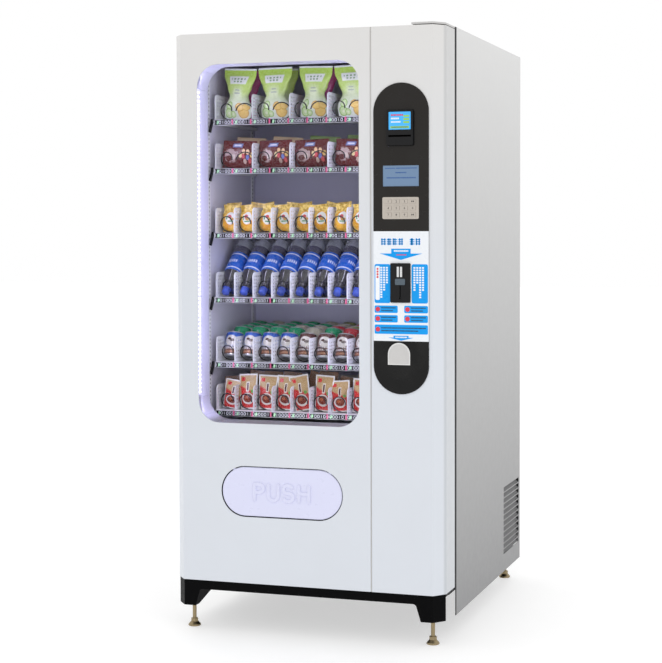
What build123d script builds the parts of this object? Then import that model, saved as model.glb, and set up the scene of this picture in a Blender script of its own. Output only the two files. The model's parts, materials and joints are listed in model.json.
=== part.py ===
from build123d import *
import os
from itertools import product
from math import atan2, cos, degrees, radians, sin

# Snack vending machine with a glass front.  Millimetres, +Z up, the floor at Z = 0.
# The front faces -Y and +X is the right of a person who stands in front of it.
# The origin is the middle of the footprint, on the floor.

# ---------------------------------------------------------------- driving dimensions
WIDTH = 910  # across the side panels
DEPTH = 1118  # door face to the back of the cabinet
CABINET_TOP = 1945  # highest point of the cabinet
PROUD = 12  # how far the banknote bezel stands out of the door face
FACE = PROUD - (DEPTH + PROUD) / 2  # Y of the door face

SHEET = 2  # folded sheet steel of the door and the cabinet
JOINT = 0.5  # gap between panels that are separate pieces

DOOR_BOTTOM = 164
DOOR_TOP = 1936
DOOR_DEPTH = 143
CHAMFER_X = 32.5  # bevelled front corners of the door and of the base
CHAMFER_Y = 40
BEND_R = 4  # bend radius at the door's corners
SEAM_X = 220.6  # seam between the window side and the control side of the door
SEAM_GAP = 2

CABINET_FRONT = 156  # the cabinet starts this far behind the door face
SIDE_BOTTOM = 70
WALL_IN = WIDTH / 2 - SHEET  # inner face of a side panel

WINDOW_LEFT, WINDOW_RIGHT = -366, 182.5
WINDOW_LOW, WINDOW_HIGH = 682, 1837
WINDOW_R = 72
REVEAL_LEFT, REVEAL_RIGHT = -390, 206
REVEAL_LOW, REVEAL_HIGH = 676, 1843
REVEAL_R = 78
GLASS_T = 6

FLAP_X, FLAP_Z = -80.5, 462  # middle of the delivery opening
FLAP_W, FLAP_H = 415, 165
FLAP_GAP = 3
FLAP_HINGE_Z = FLAP_Z + FLAP_H / 2 - 11.5
FLAP_HINGE_Y = 5.5
FLAP_ROD_R = 2.5
BIN_LEFT, BIN_RIGHT = -303, 142
BIN_LOW, BIN_HIGH = 330, 600
BIN_BACK = 300

PILL_X, PILL_Z = 320.5, 1276  # middle of the control fascia
PILL_W, PILL_H = 179, 968
FASCIA_T = 2.5

HINGE_X, HINGE_Y = 443, 60  # door pivot, from the machine's middle and the door face
HINGE_PIN_R = 5
CLEAR = 0.05  # radial running clearance of every shaft

FOOD_LEFT, FOOD_RIGHT = -415, 160  # inner faces of the food compartment
FOOD_LOW, FOOD_HIGH = 640, 1865
FOOD_BACK = 1040
FOAM = 38
DUCT_Y = 625  # front of the air duct panel behind the trays
WELL_BACK = 312  # back of the well that the delivery bin stands in
WELL_LOW = 300

TRAY_Z = [1674, 1511, 1295, 1078, 860, 697]  # tray floors, from the top tray down
TRAY_TURNS = [5, 5, 6, 4, 5, 7]  # turns of the spirals of each tray
WIDE_TRAYS = 2  # the top trays, whose lanes have a pair of spirals each
LANES = 8
LANE_PITCH = 66.5
LANE_LEFT = -394
TRAY_FRONT, TRAY_BACK = 214, 530
LIP_H = 18
DIVIDER_H = 85
DIVIDER_T = 1.6
COIL_R = 25.5  # to the middle of the wire
WIRE = 4
COIL_FRONT, COIL_BACK = 218, 518
COIL_LIFT = COIL_R + WIRE / 2 + 2  # axis above the tray floor
SHAFT_R = 4
LIVE_LANE = LANES - 1  # the lane, counted from 0, whose spiral is a moving body of its own

BASE_TOP = 162
BASE_PLATE = 7  # top plate of the base, which the door hangs over
BASE_LOW = 134
LEG_LOW = 79
FOOT_X = 408
FOOT_FRONT, FOOT_REAR = 52, 1070


# ---------------------------------------------------------------- helpers
def block(x, y, z, mode=Mode.ADD):
    """Adds a block to the part being built; y counts back from the door face."""
    middle = ((x[0] + x[1]) / 2, FACE + (y[0] + y[1]) / 2, (z[0] + z[1]) / 2)
    with Locations(middle):
        Box(x[1] - x[0], y[1] - y[0], z[1] - z[0], mode=mode)


def front_plane(depth):
    """A plane that faces the customer, with its x along +X and its y along +Z."""
    return Plane(origin=(0, FACE + depth, 0), x_dir=(1, 0, 0), z_dir=(0, -1, 0))


def save(piece, name):
    """Writes one finished piece as a STEP file of its own."""
    piece.label = name
    export_step(piece, f"parts/{name}.step")


def lane_middle(lane):
    return LANE_LEFT + LANE_PITCH * (lane + 0.5)


os.makedirs("parts", exist_ok=True)


# ---------------------------------------------------------------- door skins
def skin_section(left, right, back, inset):
    """Plan section of a door skin, with bevelled corners where it reaches the side."""
    edge = WIDTH / 2
    points = [(left, FACE + back)]
    if left <= -edge:
        points += [(left, FACE + CHAMFER_Y), (left + CHAMFER_X, FACE)]
    else:
        points += [(left, FACE)]
    if right >= edge:
        points += [(right - CHAMFER_X, FACE), (right, FACE + CHAMFER_Y)]
    else:
        points += [(right, FACE)]
    points += [(right, FACE + back)]
    with BuildSketch() as section:
        with BuildLine():
            Polyline(points, close=True)
        make_face()
        offset(amount=-inset, kind=Kind.INTERSECTION)
        bends = section.vertices().group_by(Axis.Y)[:-1]
        fillet([v for level in bends for v in level], radius=BEND_R - inset)
    return section.sketch


def skin(left, right):
    """A skin folded from sheet, open at the back, with walls on all its edges."""
    outer = skin_section(left, right, DOOR_DEPTH, 0)
    inner = skin_section(left, right, DOOR_DEPTH + 2 * SHEET, SHEET)
    with BuildPart() as shell:
        add(Plane.XY.offset(DOOR_BOTTOM) * outer)
        extrude(amount=DOOR_TOP - DOOR_BOTTOM)
        add(Plane.XY.offset(DOOR_BOTTOM + SHEET) * inner)
        extrude(amount=DOOR_TOP - DOOR_BOTTOM - 2 * SHEET, mode=Mode.SUBTRACT)
    return shell.part


PANEL_FRONT = DOOR_DEPTH - SHEET  # front of the sheet that closes the back of the door


def trim_seam_wall():
    """Ends a skin's wall at the seam in front of the inner panel."""
    reach = SEAM_GAP / 2 + SHEET
    block(
        (SEAM_X - reach, SEAM_X + reach),
        (PANEL_FRONT, DOOR_DEPTH + 1),
        (DOOR_BOTTOM - 1, DOOR_TOP + 1),
        Mode.SUBTRACT,
    )


LOCK_Y, LOCK_Z = 92, 1100
LOCK_R = 14
LOCK_LENGTH = 28

with BuildPart() as door_skin:
    add(skin(-WIDTH / 2, SEAM_X - SEAM_GAP / 2))
    with BuildSketch(front_plane(-1)):
        with Locations(((WINDOW_LEFT + WINDOW_RIGHT) / 2, (WINDOW_LOW + WINDOW_HIGH) / 2)):
            RectangleRounded(WINDOW_RIGHT - WINDOW_LEFT, WINDOW_HIGH - WINDOW_LOW, WINDOW_R)
        with Locations((FLAP_X, FLAP_Z)):
            SlotOverall(FLAP_W, FLAP_H)
    extrude(amount=-(SHEET + 2), mode=Mode.SUBTRACT)
    with BuildSketch(Plane.YZ.offset(-WIDTH / 2 - 1)):
        with Locations((FACE + LOCK_Y, LOCK_Z)):
            Circle(LOCK_R + CLEAR)
    extrude(amount=SHEET + 2, mode=Mode.SUBTRACT)
    trim_seam_wall()
save(door_skin.part, "door_skin")

with BuildPart() as control_skin:
    add(skin(SEAM_X + SEAM_GAP / 2, WIDTH / 2))
    with BuildSketch(front_plane(-1)):
        with Locations((PILL_X, PILL_Z)):
            SlotOverall(PILL_H - 24, PILL_W - 24, rotation=90)
    extrude(amount=-(SHEET + 2), mode=Mode.SUBTRACT)
    with Locations((HINGE_X, FACE + HINGE_Y, (DOOR_BOTTOM + DOOR_TOP) / 2)):
        Cylinder(HINGE_PIN_R + CLEAR, DOOR_TOP, mode=Mode.SUBTRACT)
    trim_seam_wall()
save(control_skin.part, "control_skin")


# ---------------------------------------------------------------- inside of the door
REVEAL_X = (REVEAL_LEFT + REVEAL_RIGHT) / 2
REVEAL_Z = (REVEAL_LOW + REVEAL_HIGH) / 2
REVEAL_W = REVEAL_RIGHT - REVEAL_LEFT
REVEAL_H = REVEAL_HIGH - REVEAL_LOW
GLASS_BACK = SHEET + GLASS_T

with BuildPart() as door_inner_panel:
    block((-WALL_IN, WALL_IN), (PANEL_FRONT, DOOR_DEPTH), (DOOR_BOTTOM + SHEET, DOOR_TOP - SHEET))
    with BuildSketch(front_plane(GLASS_BACK)):
        with Locations((REVEAL_X, REVEAL_Z)):
            RectangleRounded(REVEAL_W + 2 * SHEET, REVEAL_H + 2 * SHEET, REVEAL_R + SHEET)
    extrude(amount=-(DOOR_DEPTH - GLASS_BACK))
    with BuildSketch(front_plane(0)):
        with Locations((REVEAL_X, REVEAL_Z)):
            RectangleRounded(REVEAL_W, REVEAL_H, REVEAL_R)
    extrude(amount=-DOOR_DEPTH, mode=Mode.SUBTRACT)
    block((BIN_LEFT, BIN_RIGHT), (0, DOOR_DEPTH), (BIN_LOW, BIN_HIGH), Mode.SUBTRACT)
    # Seams: the reveal is a frame of its own, and frame and sheet are pieced around the openings.
    through = (-1, DOOR_DEPTH + 1)
    block((-WALL_IN, WALL_IN), (PANEL_FRONT - JOINT, PANEL_FRONT), (DOOR_BOTTOM, DOOR_TOP), Mode.SUBTRACT)
    for seam in (BIN_LOW - JOINT, BIN_HIGH, REVEAL_LOW + REVEAL_R, REVEAL_HIGH - REVEAL_R):
        block((-WALL_IN, WALL_IN), through, (seam, seam + JOINT), Mode.SUBTRACT)
    for seam in (REVEAL_LEFT + REVEAL_R, REVEAL_RIGHT - REVEAL_R):
        block((seam, seam + JOINT), through, (BIN_HIGH, DOOR_TOP), Mode.SUBTRACT)
    for side, corner_x in ((-1, REVEAL_LEFT + REVEAL_R), (1, REVEAL_RIGHT - REVEAL_R)):
        for up, corner_z in ((-1, REVEAL_LOW + REVEAL_R), (1, REVEAL_HIGH - REVEAL_R)):
            slope = degrees(atan2(-up, side))
            with Locations(Location((corner_x, FACE + DOOR_DEPTH / 2, corner_z), (0, slope, 0))):
                Box(WIDTH, DOOR_DEPTH + 2, JOINT, align=(Align.MIN, Align.CENTER, Align.CENTER), mode=Mode.SUBTRACT)
save(door_inner_panel.part, "door_inner_panel")

GLASS_LAP = 14  # how far the glass reaches behind the skin

with BuildPart() as window_glass:
    with BuildSketch(front_plane(SHEET)):
        with Locations(((WINDOW_LEFT + WINDOW_RIGHT) / 2, (WINDOW_LOW + WINDOW_HIGH) / 2)):
            RectangleRounded(
                WINDOW_RIGHT - WINDOW_LEFT + 2 * GLASS_LAP,
                WINDOW_HIGH - WINDOW_LOW + 2 * GLASS_LAP,
                WINDOW_R + GLASS_LAP,
            )
    extrude(amount=-GLASS_T)
save(window_glass.part, "window_glass")

LED_T = 4
LED_FRONT, LED_BACK = 38, 66
LED_LOW, LED_HIGH = 764, 1765

with BuildPart() as led_strips:
    block((REVEAL_LEFT, REVEAL_LEFT + LED_T), (LED_FRONT, LED_BACK), (LED_LOW, LED_HIGH))
    block((REVEAL_RIGHT - LED_T, REVEAL_RIGHT), (LED_FRONT, LED_BACK), (LED_LOW, LED_HIGH))
save(led_strips.part, "led_strips")

GASKET_W, GASKET_T = 14, CABINET_FRONT - DOOR_DEPTH - 1
GASKET_OUT = 450  # outer edge of the seal, from the middle
GASKET_LOW, GASKET_HIGH = 268, 1915
GASKET_R = 20

with BuildPart() as door_gasket:
    with BuildSketch(front_plane(DOOR_DEPTH)):
        with Locations((0, (GASKET_LOW + GASKET_HIGH) / 2)):
            RectangleRounded(2 * GASKET_OUT, GASKET_HIGH - GASKET_LOW, GASKET_R)
            RectangleRounded(
                2 * (GASKET_OUT - GASKET_W),
                GASKET_HIGH - GASKET_LOW - 2 * GASKET_W,
                GASKET_R - 8,
                mode=Mode.SUBTRACT,
            )
    extrude(amount=-GASKET_T)
save(door_gasket.part, "door_gasket")

with BuildPart() as delivery_bin:
    block((BIN_LEFT, BIN_RIGHT), (SHEET, BIN_BACK), (BIN_LOW, BIN_HIGH))
    block(
        (BIN_LEFT + SHEET, BIN_RIGHT - SHEET),
        (0, BIN_BACK - SHEET),
        (BIN_LOW + SHEET, BIN_HIGH - SHEET),
        Mode.SUBTRACT,
    )
    # Goods fall in through the open top, behind the door.
    block(
        (BIN_LEFT + SHEET, BIN_RIGHT - SHEET),
        (CABINET_FRONT, BIN_BACK - SHEET),
        (BIN_LOW + SHEET, BIN_HIGH),
        Mode.SUBTRACT,
    )
    with Locations((FLAP_X, FACE + FLAP_HINGE_Y, FLAP_HINGE_Z)):
        Cylinder(FLAP_ROD_R + CLEAR, 2 * WIDTH, rotation=(0, 90, 0), mode=Mode.SUBTRACT)
save(delivery_bin.part, "delivery_bin")

FLAP_FRONT, FLAP_WALL, FLAP_RIM = 1, 5, 12
FLAP_ROUND = 4  # radius of its front edge

with BuildPart() as delivery_flap:
    with BuildSketch(front_plane(FLAP_FRONT)):
        with Locations((FLAP_X, FLAP_Z)):
            SlotOverall(FLAP_W - 2 * FLAP_GAP, FLAP_H - 2 * FLAP_GAP)
    extrude(amount=-FLAP_RIM)
    fillet(delivery_flap.faces().sort_by(Axis.Y)[0].edges(), radius=FLAP_ROUND)
    with BuildSketch(front_plane(FLAP_FRONT + FLAP_WALL)):
        with Locations((FLAP_X, FLAP_Z)):
            SlotOverall(FLAP_W - 2 * FLAP_GAP - 2 * FLAP_WALL, FLAP_H - 2 * FLAP_GAP - 2 * FLAP_WALL)
    extrude(amount=-FLAP_RIM, mode=Mode.SUBTRACT)
    with Locations(((BIN_LEFT + BIN_RIGHT) / 2, FACE + FLAP_HINGE_Y, FLAP_HINGE_Z)):
        Cylinder(FLAP_ROD_R, BIN_RIGHT - BIN_LEFT, rotation=(0, 90, 0))
save(delivery_flap.part, "delivery_flap")

# ---------------------------------------------------------------- control side of the door
BEZEL_X, BEZEL_Z = 319, 1620.5
BEZEL_W, BEZEL_H = 90, 113
NOTE_SLOT_Z = 1595
NOTE_SLOT_W, NOTE_SLOT_H = 73, 6
NOTE_SLOT_DEPTH = 60
BEZEL_LIP = 5  # how far the bezel laps over the validator's body
SCREEN_W, SCREEN_LOW, SCREEN_HIGH = 74, 1613, 1671  # sunk picture above the banknote mouth
SCREEN_SUNK = 1.5
DISPLAY_X, DISPLAY_Z = 320, 1471.8
DISPLAY_W, DISPLAY_H = 116, 64.5
DISPLAY_PROUD, DISPLAY_BACK = 1.5, 18
DISPLAY_LIP, LIP_BACK = 6, 12  # the flange behind the fascia
PAD_X, PAD_Z = 319.5, 1372
PAD_W, PAD_H = 117.7, 68
KEY_PITCH_X, KEY_PITCH_Z = 26.3, 20.6
KEY_COLUMNS, KEY_ROWS = 4, 3
KEY_W, KEY_H = 20, 13.4
COIN_X, COIN_Z = 319.5, 1139.5
COIN_W, COIN_H = 65, 123
COIN_NECK = 3  # how much narrower the hole is than the coin plate, on each side
GUIDE_LOW, GUIDE_HIGH = 1090.6, 1146
GUIDE_W = 3.4
CUP_X = 313.7
CUP_W, CUP_LOW, CUP_HIGH = 72.1, 883.6, 952.6
CUP_DEPTH = 72
CUP_WALL = 5
CUP_PIN_Y, CUP_PIN_Z = 3, CUP_HIGH - 8  # pivot of the coin flap
CUP_PIN_R = 2
PANEL_LOW, PANEL_HIGH = 958, 1300
LABEL_T = 1


def arch(width, low, high):
    """A doorway shape with a half-round top, drawn in the sketch being built."""
    spring = high - width / 2
    with Locations((CUP_X, (low + spring) / 2)):
        Rectangle(width, spring - low)
    with Locations((CUP_X, spring)):
        Circle(width / 2)
    with Locations((CUP_X, low - width / 2)):
        Rectangle(width, width, mode=Mode.SUBTRACT)


with BuildPart() as control_fascia:
    with BuildSketch(front_plane(0)):
        with Locations((PILL_X, PILL_Z)):
            SlotOverall(PILL_H, PILL_W, rotation=90)
        with Locations((BEZEL_X, BEZEL_Z)):
            Rectangle(BEZEL_W - 8, BEZEL_H - 8, mode=Mode.SUBTRACT)
        with Locations((DISPLAY_X, DISPLAY_Z)):
            Rectangle(DISPLAY_W, DISPLAY_H, mode=Mode.SUBTRACT)
        with Locations((PAD_X, PAD_Z)):
            Rectangle(PAD_W - 12, PAD_H - 6, mode=Mode.SUBTRACT)
        with Locations((COIN_X, COIN_Z)):
            Rectangle(COIN_W - 2 * COIN_NECK, COIN_H - 2 * COIN_NECK, mode=Mode.SUBTRACT)
        with BuildSketch(mode=Mode.SUBTRACT):
            arch(CUP_W + 2, CUP_LOW - 1, CUP_HIGH + 1)
    extrude(amount=FASCIA_T)
    # It is laid in three lengths, whose joints lie under the instruction panel.
    for seam in (PANEL_LOW + JOINT, PANEL_HIGH - 2 * JOINT):
        block((0, WIDTH / 2), (-FASCIA_T - 1, 1), (seam, seam + JOINT), Mode.SUBTRACT)
save(control_fascia.part, "control_fascia")

with BuildPart() as instruction_panel:
    with BuildSketch(front_plane(-FASCIA_T)):
        with Locations((PILL_X, (PANEL_LOW + PANEL_HIGH) / 2)):
            Rectangle(PILL_W, PANEL_HIGH - PANEL_LOW)
        with Locations((COIN_X, COIN_Z)):
            Rectangle(COIN_W - 2 * COIN_NECK, COIN_H - 2 * COIN_NECK, mode=Mode.SUBTRACT)
    extrude(amount=LABEL_T)
save(instruction_panel.part, "instruction_panel")

VALIDATOR_DEPTH = 115

with BuildPart() as bill_validator:
    with BuildSketch(front_plane(-FASCIA_T)):
        with Locations((BEZEL_X, BEZEL_Z)):
            RectangleRounded(BEZEL_W, BEZEL_H, 7)
    extrude(amount=PROUD - FASCIA_T, taper=12)
    block(
        (BEZEL_X - BEZEL_W / 2 + BEZEL_LIP, BEZEL_X + BEZEL_W / 2 - BEZEL_LIP),
        (-FASCIA_T, VALIDATOR_DEPTH),
        (BEZEL_Z - BEZEL_H / 2 + BEZEL_LIP, BEZEL_Z + BEZEL_H / 2 - BEZEL_LIP),
    )
    # The mouth for banknotes, and the sunk window for the picture label above it.
    block(
        (BEZEL_X - NOTE_SLOT_W / 2, BEZEL_X + NOTE_SLOT_W / 2),
        (-2 * PROUD, NOTE_SLOT_DEPTH),
        (NOTE_SLOT_Z - NOTE_SLOT_H / 2, NOTE_SLOT_Z + NOTE_SLOT_H / 2),
        Mode.SUBTRACT,
    )
    block(
        (BEZEL_X - SCREEN_W / 2, BEZEL_X + SCREEN_W / 2),
        (-2 * PROUD, SCREEN_SUNK - PROUD),
        (SCREEN_LOW, SCREEN_HIGH),
        Mode.SUBTRACT,
    )
save(bill_validator.part, "bill_validator")

with BuildPart() as display:
    block(
        (DISPLAY_X - DISPLAY_W / 2, DISPLAY_X + DISPLAY_W / 2),
        (-DISPLAY_PROUD, DISPLAY_BACK),
        (DISPLAY_Z - DISPLAY_H / 2, DISPLAY_Z + DISPLAY_H / 2),
    )
    block(
        (DISPLAY_X - DISPLAY_W / 2 - DISPLAY_LIP, DISPLAY_X + DISPLAY_W / 2 + DISPLAY_LIP),
        (0, LIP_BACK),
        (DISPLAY_Z - DISPLAY_H / 2 - DISPLAY_LIP, DISPLAY_Z + DISPLAY_H / 2 + DISPLAY_LIP),
    )
save(display.part, "display")

PAD_T = 1.5
PAD_R = 5
KEY_R = 2
KEY_GAP = 0.3
BOARD_W, BOARD_H = 104, 60  # contact board behind the keys
BOARD_FRONT, BOARD_BACK = 2.5, 4.5
key_spots = GridLocations(KEY_PITCH_X, KEY_PITCH_Z, KEY_COLUMNS, KEY_ROWS).locations

with BuildPart() as keypad_plate:
    with BuildSketch(front_plane(-FASCIA_T)):
        with Locations((PAD_X, PAD_Z)):
            RectangleRounded(PAD_W, PAD_H, PAD_R)
        for spot in key_spots:
            with Locations((PAD_X + spot.position.X, PAD_Z + spot.position.Y)):
                RectangleRounded(
                    KEY_W + 2 * KEY_GAP, KEY_H + 2 * KEY_GAP, KEY_R + KEY_GAP, mode=Mode.SUBTRACT
                )
    extrude(amount=PAD_T)
    block(
        (PAD_X - BOARD_W / 2, PAD_X + BOARD_W / 2),
        (BOARD_FRONT, BOARD_BACK),
        (PAD_Z - BOARD_H / 2, PAD_Z + BOARD_H / 2),
    )
save(keypad_plate.part, "keypad_plate")

KEY_PROUD = 1.6  # how far a key stands out of its plate
KEY_EDGE = 0.6  # radius of its front edge
KEY_SKIRT, SKIRT_T = 1.5, 2  # the flange that keeps it behind the plate

for row in range(KEY_ROWS):
    for column in range(KEY_COLUMNS):
        x = PAD_X + (column - (KEY_COLUMNS - 1) / 2) * KEY_PITCH_X
        z = PAD_Z - (row - (KEY_ROWS - 1) / 2) * KEY_PITCH_Z
        with BuildPart() as key:
            with BuildSketch(front_plane(-FASCIA_T)):
                with Locations((x, z)):
                    RectangleRounded(KEY_W, KEY_H, KEY_R)
            extrude(amount=PAD_T + KEY_PROUD)
            fillet(key.faces().sort_by(Axis.Y)[0].edges(), radius=KEY_EDGE)
            with BuildSketch(front_plane(-FASCIA_T)):
                with Locations((x, z)):
                    RectangleRounded(KEY_W + 2 * KEY_SKIRT, KEY_H + 2 * KEY_SKIRT, KEY_R)
            extrude(amount=-SKIRT_T)
        save(key.part, f"key_{row + 1}_{column + 1}")

COIN_FRONT = -9  # front of the coin plate
INLET_X, INLET_LOW, INLET_HIGH = 318, 1154, 1194
INLET_W, INLET_PROUD = 22, 2
COIN_SLOT_W = 4.6
COIN_R, COIN_EDGE = 4, 1.5
SHANK_X, SHANK_Z = 29, 58  # half sizes of the coin plate's shank in the fascia
GUIDE_END_R = 3.4

with BuildPart() as coin_plate:
    with BuildSketch(front_plane(-FASCIA_T - LABEL_T)):
        with Locations((COIN_X, COIN_Z)):
            RectangleRounded(COIN_W, COIN_H, COIN_R)
    extrude(amount=-COIN_FRONT - FASCIA_T - LABEL_T)
    fillet(coin_plate.faces().sort_by(Axis.Y)[0].edges(), radius=COIN_EDGE)
    with BuildSketch(front_plane(COIN_FRONT)):
        with Locations((INLET_X, (INLET_LOW + INLET_HIGH) / 2)):
            RectangleRounded(INLET_W, INLET_HIGH - INLET_LOW, 3)
    extrude(amount=INLET_PROUD)
    block((COIN_X - SHANK_X, COIN_X + SHANK_X), (COIN_FRONT + 2, 1), (COIN_Z - SHANK_Z, COIN_Z + SHANK_Z))
    block(
        (INLET_X - COIN_SLOT_W / 2, INLET_X + COIN_SLOT_W / 2),
        (-2 * PROUD, 1),
        (INLET_LOW + 4, INLET_HIGH - 4),
        Mode.SUBTRACT,
    )
    # The guide that the reject lever slides down.
    with BuildSketch(front_plane(-2 * PROUD)):
        with Locations((COIN_X, (GUIDE_LOW + GUIDE_HIGH) / 2)):
            SlotOverall(GUIDE_HIGH - GUIDE_LOW, GUIDE_W, rotation=90)
        with Locations((COIN_X, GUIDE_LOW + 1)):
            Circle(GUIDE_END_R)
    extrude(amount=-(2 * PROUD + 1), mode=Mode.SUBTRACT)
save(coin_plate.part, "coin_plate")

LEVER_W, LEVER_LOW, LEVER_HIGH = 33, 1133, 1153
LEVER_EDGE = 0.9
STEM = 3  # width of the lever's stem in the guide

with BuildPart() as coin_return_lever:
    with BuildSketch(front_plane(COIN_FRONT - 0.2)):
        with Locations((COIN_X, (LEVER_LOW + LEVER_HIGH) / 2)):
            RectangleRounded(LEVER_W, LEVER_HIGH - LEVER_LOW, 4)
    extrude(amount=PROUD + COIN_FRONT - 0.4)
    fillet(coin_return_lever.faces().sort_by(Axis.Y)[0].edges(), radius=LEVER_EDGE)
    block((COIN_X - STEM / 2, COIN_X + STEM / 2), (COIN_FRONT - 0.3, 0), (LEVER_LOW + 2, LEVER_LOW + 8))
save(coin_return_lever.part, "coin_return_lever")

ACCEPTOR_HALF, ACCEPTOR_BACK = 30, 70
SORTER_HALF, SORTER_FRONT, SORTER_BACK = 51, 18, 120
SORTER_LOW, SORTER_HIGH = 972, 1083
CHUTE_HALF, CHUTE_BACK, CHUTE_LOW = 18, 110, 900

with BuildPart() as coin_mech:
    # Acceptor behind the coin plate, sorter with the coin tubes, chute to the return cup.
    block(
        (COIN_X - ACCEPTOR_HALF, COIN_X + ACCEPTOR_HALF),
        (1, ACCEPTOR_BACK),
        (SORTER_HIGH + JOINT, COIN_Z + SHANK_Z),
    )
    block(
        (COIN_X - SORTER_HALF, COIN_X + SORTER_HALF), (SORTER_FRONT, SORTER_BACK), (SORTER_LOW, SORTER_HIGH)
    )
    block(
        (CUP_X - CHUTE_HALF, CUP_X + CHUTE_HALF), (CUP_DEPTH + 2, CHUTE_BACK), (CHUTE_LOW, SORTER_LOW - JOINT)
    )
save(coin_mech.part, "coin_mech")

with BuildPart() as coin_cup:
    cup_inside = CUP_W / 2 + 1
    block(
        (CUP_X - cup_inside - CUP_WALL, CUP_X + cup_inside + CUP_WALL),
        (0, CUP_DEPTH),
        (CUP_LOW - 1 - CUP_WALL, CUP_HIGH + 1 + CUP_WALL),
    )
    block(
        (CUP_X - cup_inside, CUP_X + cup_inside),
        (-1, CUP_DEPTH - SHEET),
        (CUP_LOW - 1, CUP_HIGH + 1),
        Mode.SUBTRACT,
    )
    with Locations((CUP_X, FACE + CUP_PIN_Y, CUP_PIN_Z)):
        Cylinder(CUP_PIN_R + CLEAR, 2 * cup_inside + 5, rotation=(0, 90, 0), mode=Mode.SUBTRACT)
save(coin_cup.part, "coin_cup")

CUP_FLAP_T = 3.5
CUP_FLAP_EDGE = 1.2

with BuildPart() as coin_return_flap:
    with BuildSketch(front_plane(1)):
        arch(CUP_W, CUP_LOW, CUP_HIGH)
    extrude(amount=CUP_FLAP_T)
    fillet(coin_return_flap.faces().sort_by(Axis.Y)[0].edges(), radius=CUP_FLAP_EDGE)
    with Locations((CUP_X, FACE + CUP_PIN_Y, CUP_PIN_Z)):
        Cylinder(CUP_PIN_R, CUP_W + 5, rotation=(0, 90, 0))
        Box(30, 2 * CUP_PIN_R, 2 * CUP_PIN_R)
save(coin_return_flap.part, "coin_return_flap")

with BuildPart() as door_lock:
    with BuildSketch(Plane.YZ.offset(-WIDTH / 2)):
        with Locations((FACE + LOCK_Y, LOCK_Z)):
            Circle(LOCK_R)
    extrude(amount=LOCK_LENGTH)
    # Keyway in the face, and the cam that turns behind the skin.
    block((-WIDTH / 2 - 1, -WIDTH / 2 + 4), (LOCK_Y - 1, LOCK_Y + 1), (LOCK_Z - 5, LOCK_Z + 5), Mode.SUBTRACT)
    block(
        (-WIDTH / 2 + LOCK_LENGTH - 4, -WIDTH / 2 + LOCK_LENGTH),
        (LOCK_Y - 8, LOCK_Y + 8),
        (LOCK_Z - 8, LOCK_Z + LOCK_R + LOCK_LENGTH),
    )
save(door_lock.part, "door_lock")

# ---------------------------------------------------------------- cabinet
SIDE_FLANGE = 20  # front edge of a side panel, turned inwards
LOUVRES = 12
LOUVRE_FRONT, LOUVRE_BACK = 845, 1100
LOUVRE_LOW, LOUVRE_PITCH, LOUVRE_H = 133, 20.5, 16.5
BLADE_BACK = 1090  # the louvre blades end in front of the rear post
BLADE_T, BLADE_W, BLADE_TILT = 1.5, 19, -40
BLADE_SET = 6.5  # middle of a blade, from the inner face of the side sheet
BODY_FRONT = CABINET_FRONT + SHEET  # front of what stands behind the side panels' flanges
FRAME_TOP = 1915


def side_panel(side):
    """A flat side sheet and the flange of its front edge; side is -1 for the left."""
    outer, inner = side * WIDTH / 2, side * WALL_IN
    turned = side * (WALL_IN - SIDE_FLANGE)
    block(sorted((inner, outer)), (CABINET_FRONT, DEPTH), (SIDE_BOTTOM, CABINET_TOP))
    flange = sorted((turned, inner - side * JOINT))
    block(flange, (CABINET_FRONT, BODY_FRONT), (DOOR_BOTTOM, CABINET_TOP - SHEET))


with BuildPart() as left_side_panel:
    side_panel(-1)
save(left_side_panel.part, "left_side_panel")

with BuildPart() as right_side_panel:
    side_panel(1)
    for slot in range(LOUVRES):
        low = LOUVRE_LOW + slot * LOUVRE_PITCH
        block((WALL_IN - 1, WIDTH / 2 + 1), (LOUVRE_FRONT, LOUVRE_BACK), (low, low + LOUVRE_H), Mode.SUBTRACT)
    # Each louvre is a blade that slopes down and outwards across its slot.
    for slot in range(LOUVRES):
        middle = LOUVRE_LOW + slot * LOUVRE_PITCH + LOUVRE_H / 2
        with Locations((WALL_IN - BLADE_SET, FACE + (LOUVRE_FRONT + BLADE_BACK) / 2, middle + JOINT)):
            Box(BLADE_T, BLADE_BACK - LOUVRE_FRONT, BLADE_W, rotation=(0, BLADE_TILT, 0))
save(right_side_panel.part, "right_side_panel")

with BuildPart() as top_panel:
    block((-WALL_IN, WALL_IN), (CABINET_FRONT, DEPTH), (CABINET_TOP - SHEET, CABINET_TOP))
    block(
        (-WALL_IN + SIDE_FLANGE, WALL_IN - SIDE_FLANGE),
        (CABINET_FRONT, BODY_FRONT),
        (FRAME_TOP, CABINET_TOP - SHEET - JOINT),
    )
save(top_panel.part, "top_panel")

BACK_VENTS = 12
BACK_VENT_LOW, BACK_VENT_PITCH = 200, 24

with BuildPart() as back_panel:
    block((-WALL_IN, WALL_IN), (DEPTH - SHEET, DEPTH), (BASE_TOP, CABINET_TOP - SHEET))
    with BuildSketch(front_plane(DEPTH - SHEET)):
        with Locations((0, BACK_VENT_LOW + BACK_VENT_PITCH * BACK_VENTS / 2)):
            with GridLocations(240, BACK_VENT_PITCH, 3, BACK_VENTS):
                SlotOverall(210, 9)
    extrude(amount=-SHEET, mode=Mode.SUBTRACT)
save(back_panel.part, "back_panel")

POST = 24  # square tube of the cabinet frame
WELL_RIGHT = FOOD_RIGHT + FOAM
BACK_IN = DEPTH - SHEET

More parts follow.
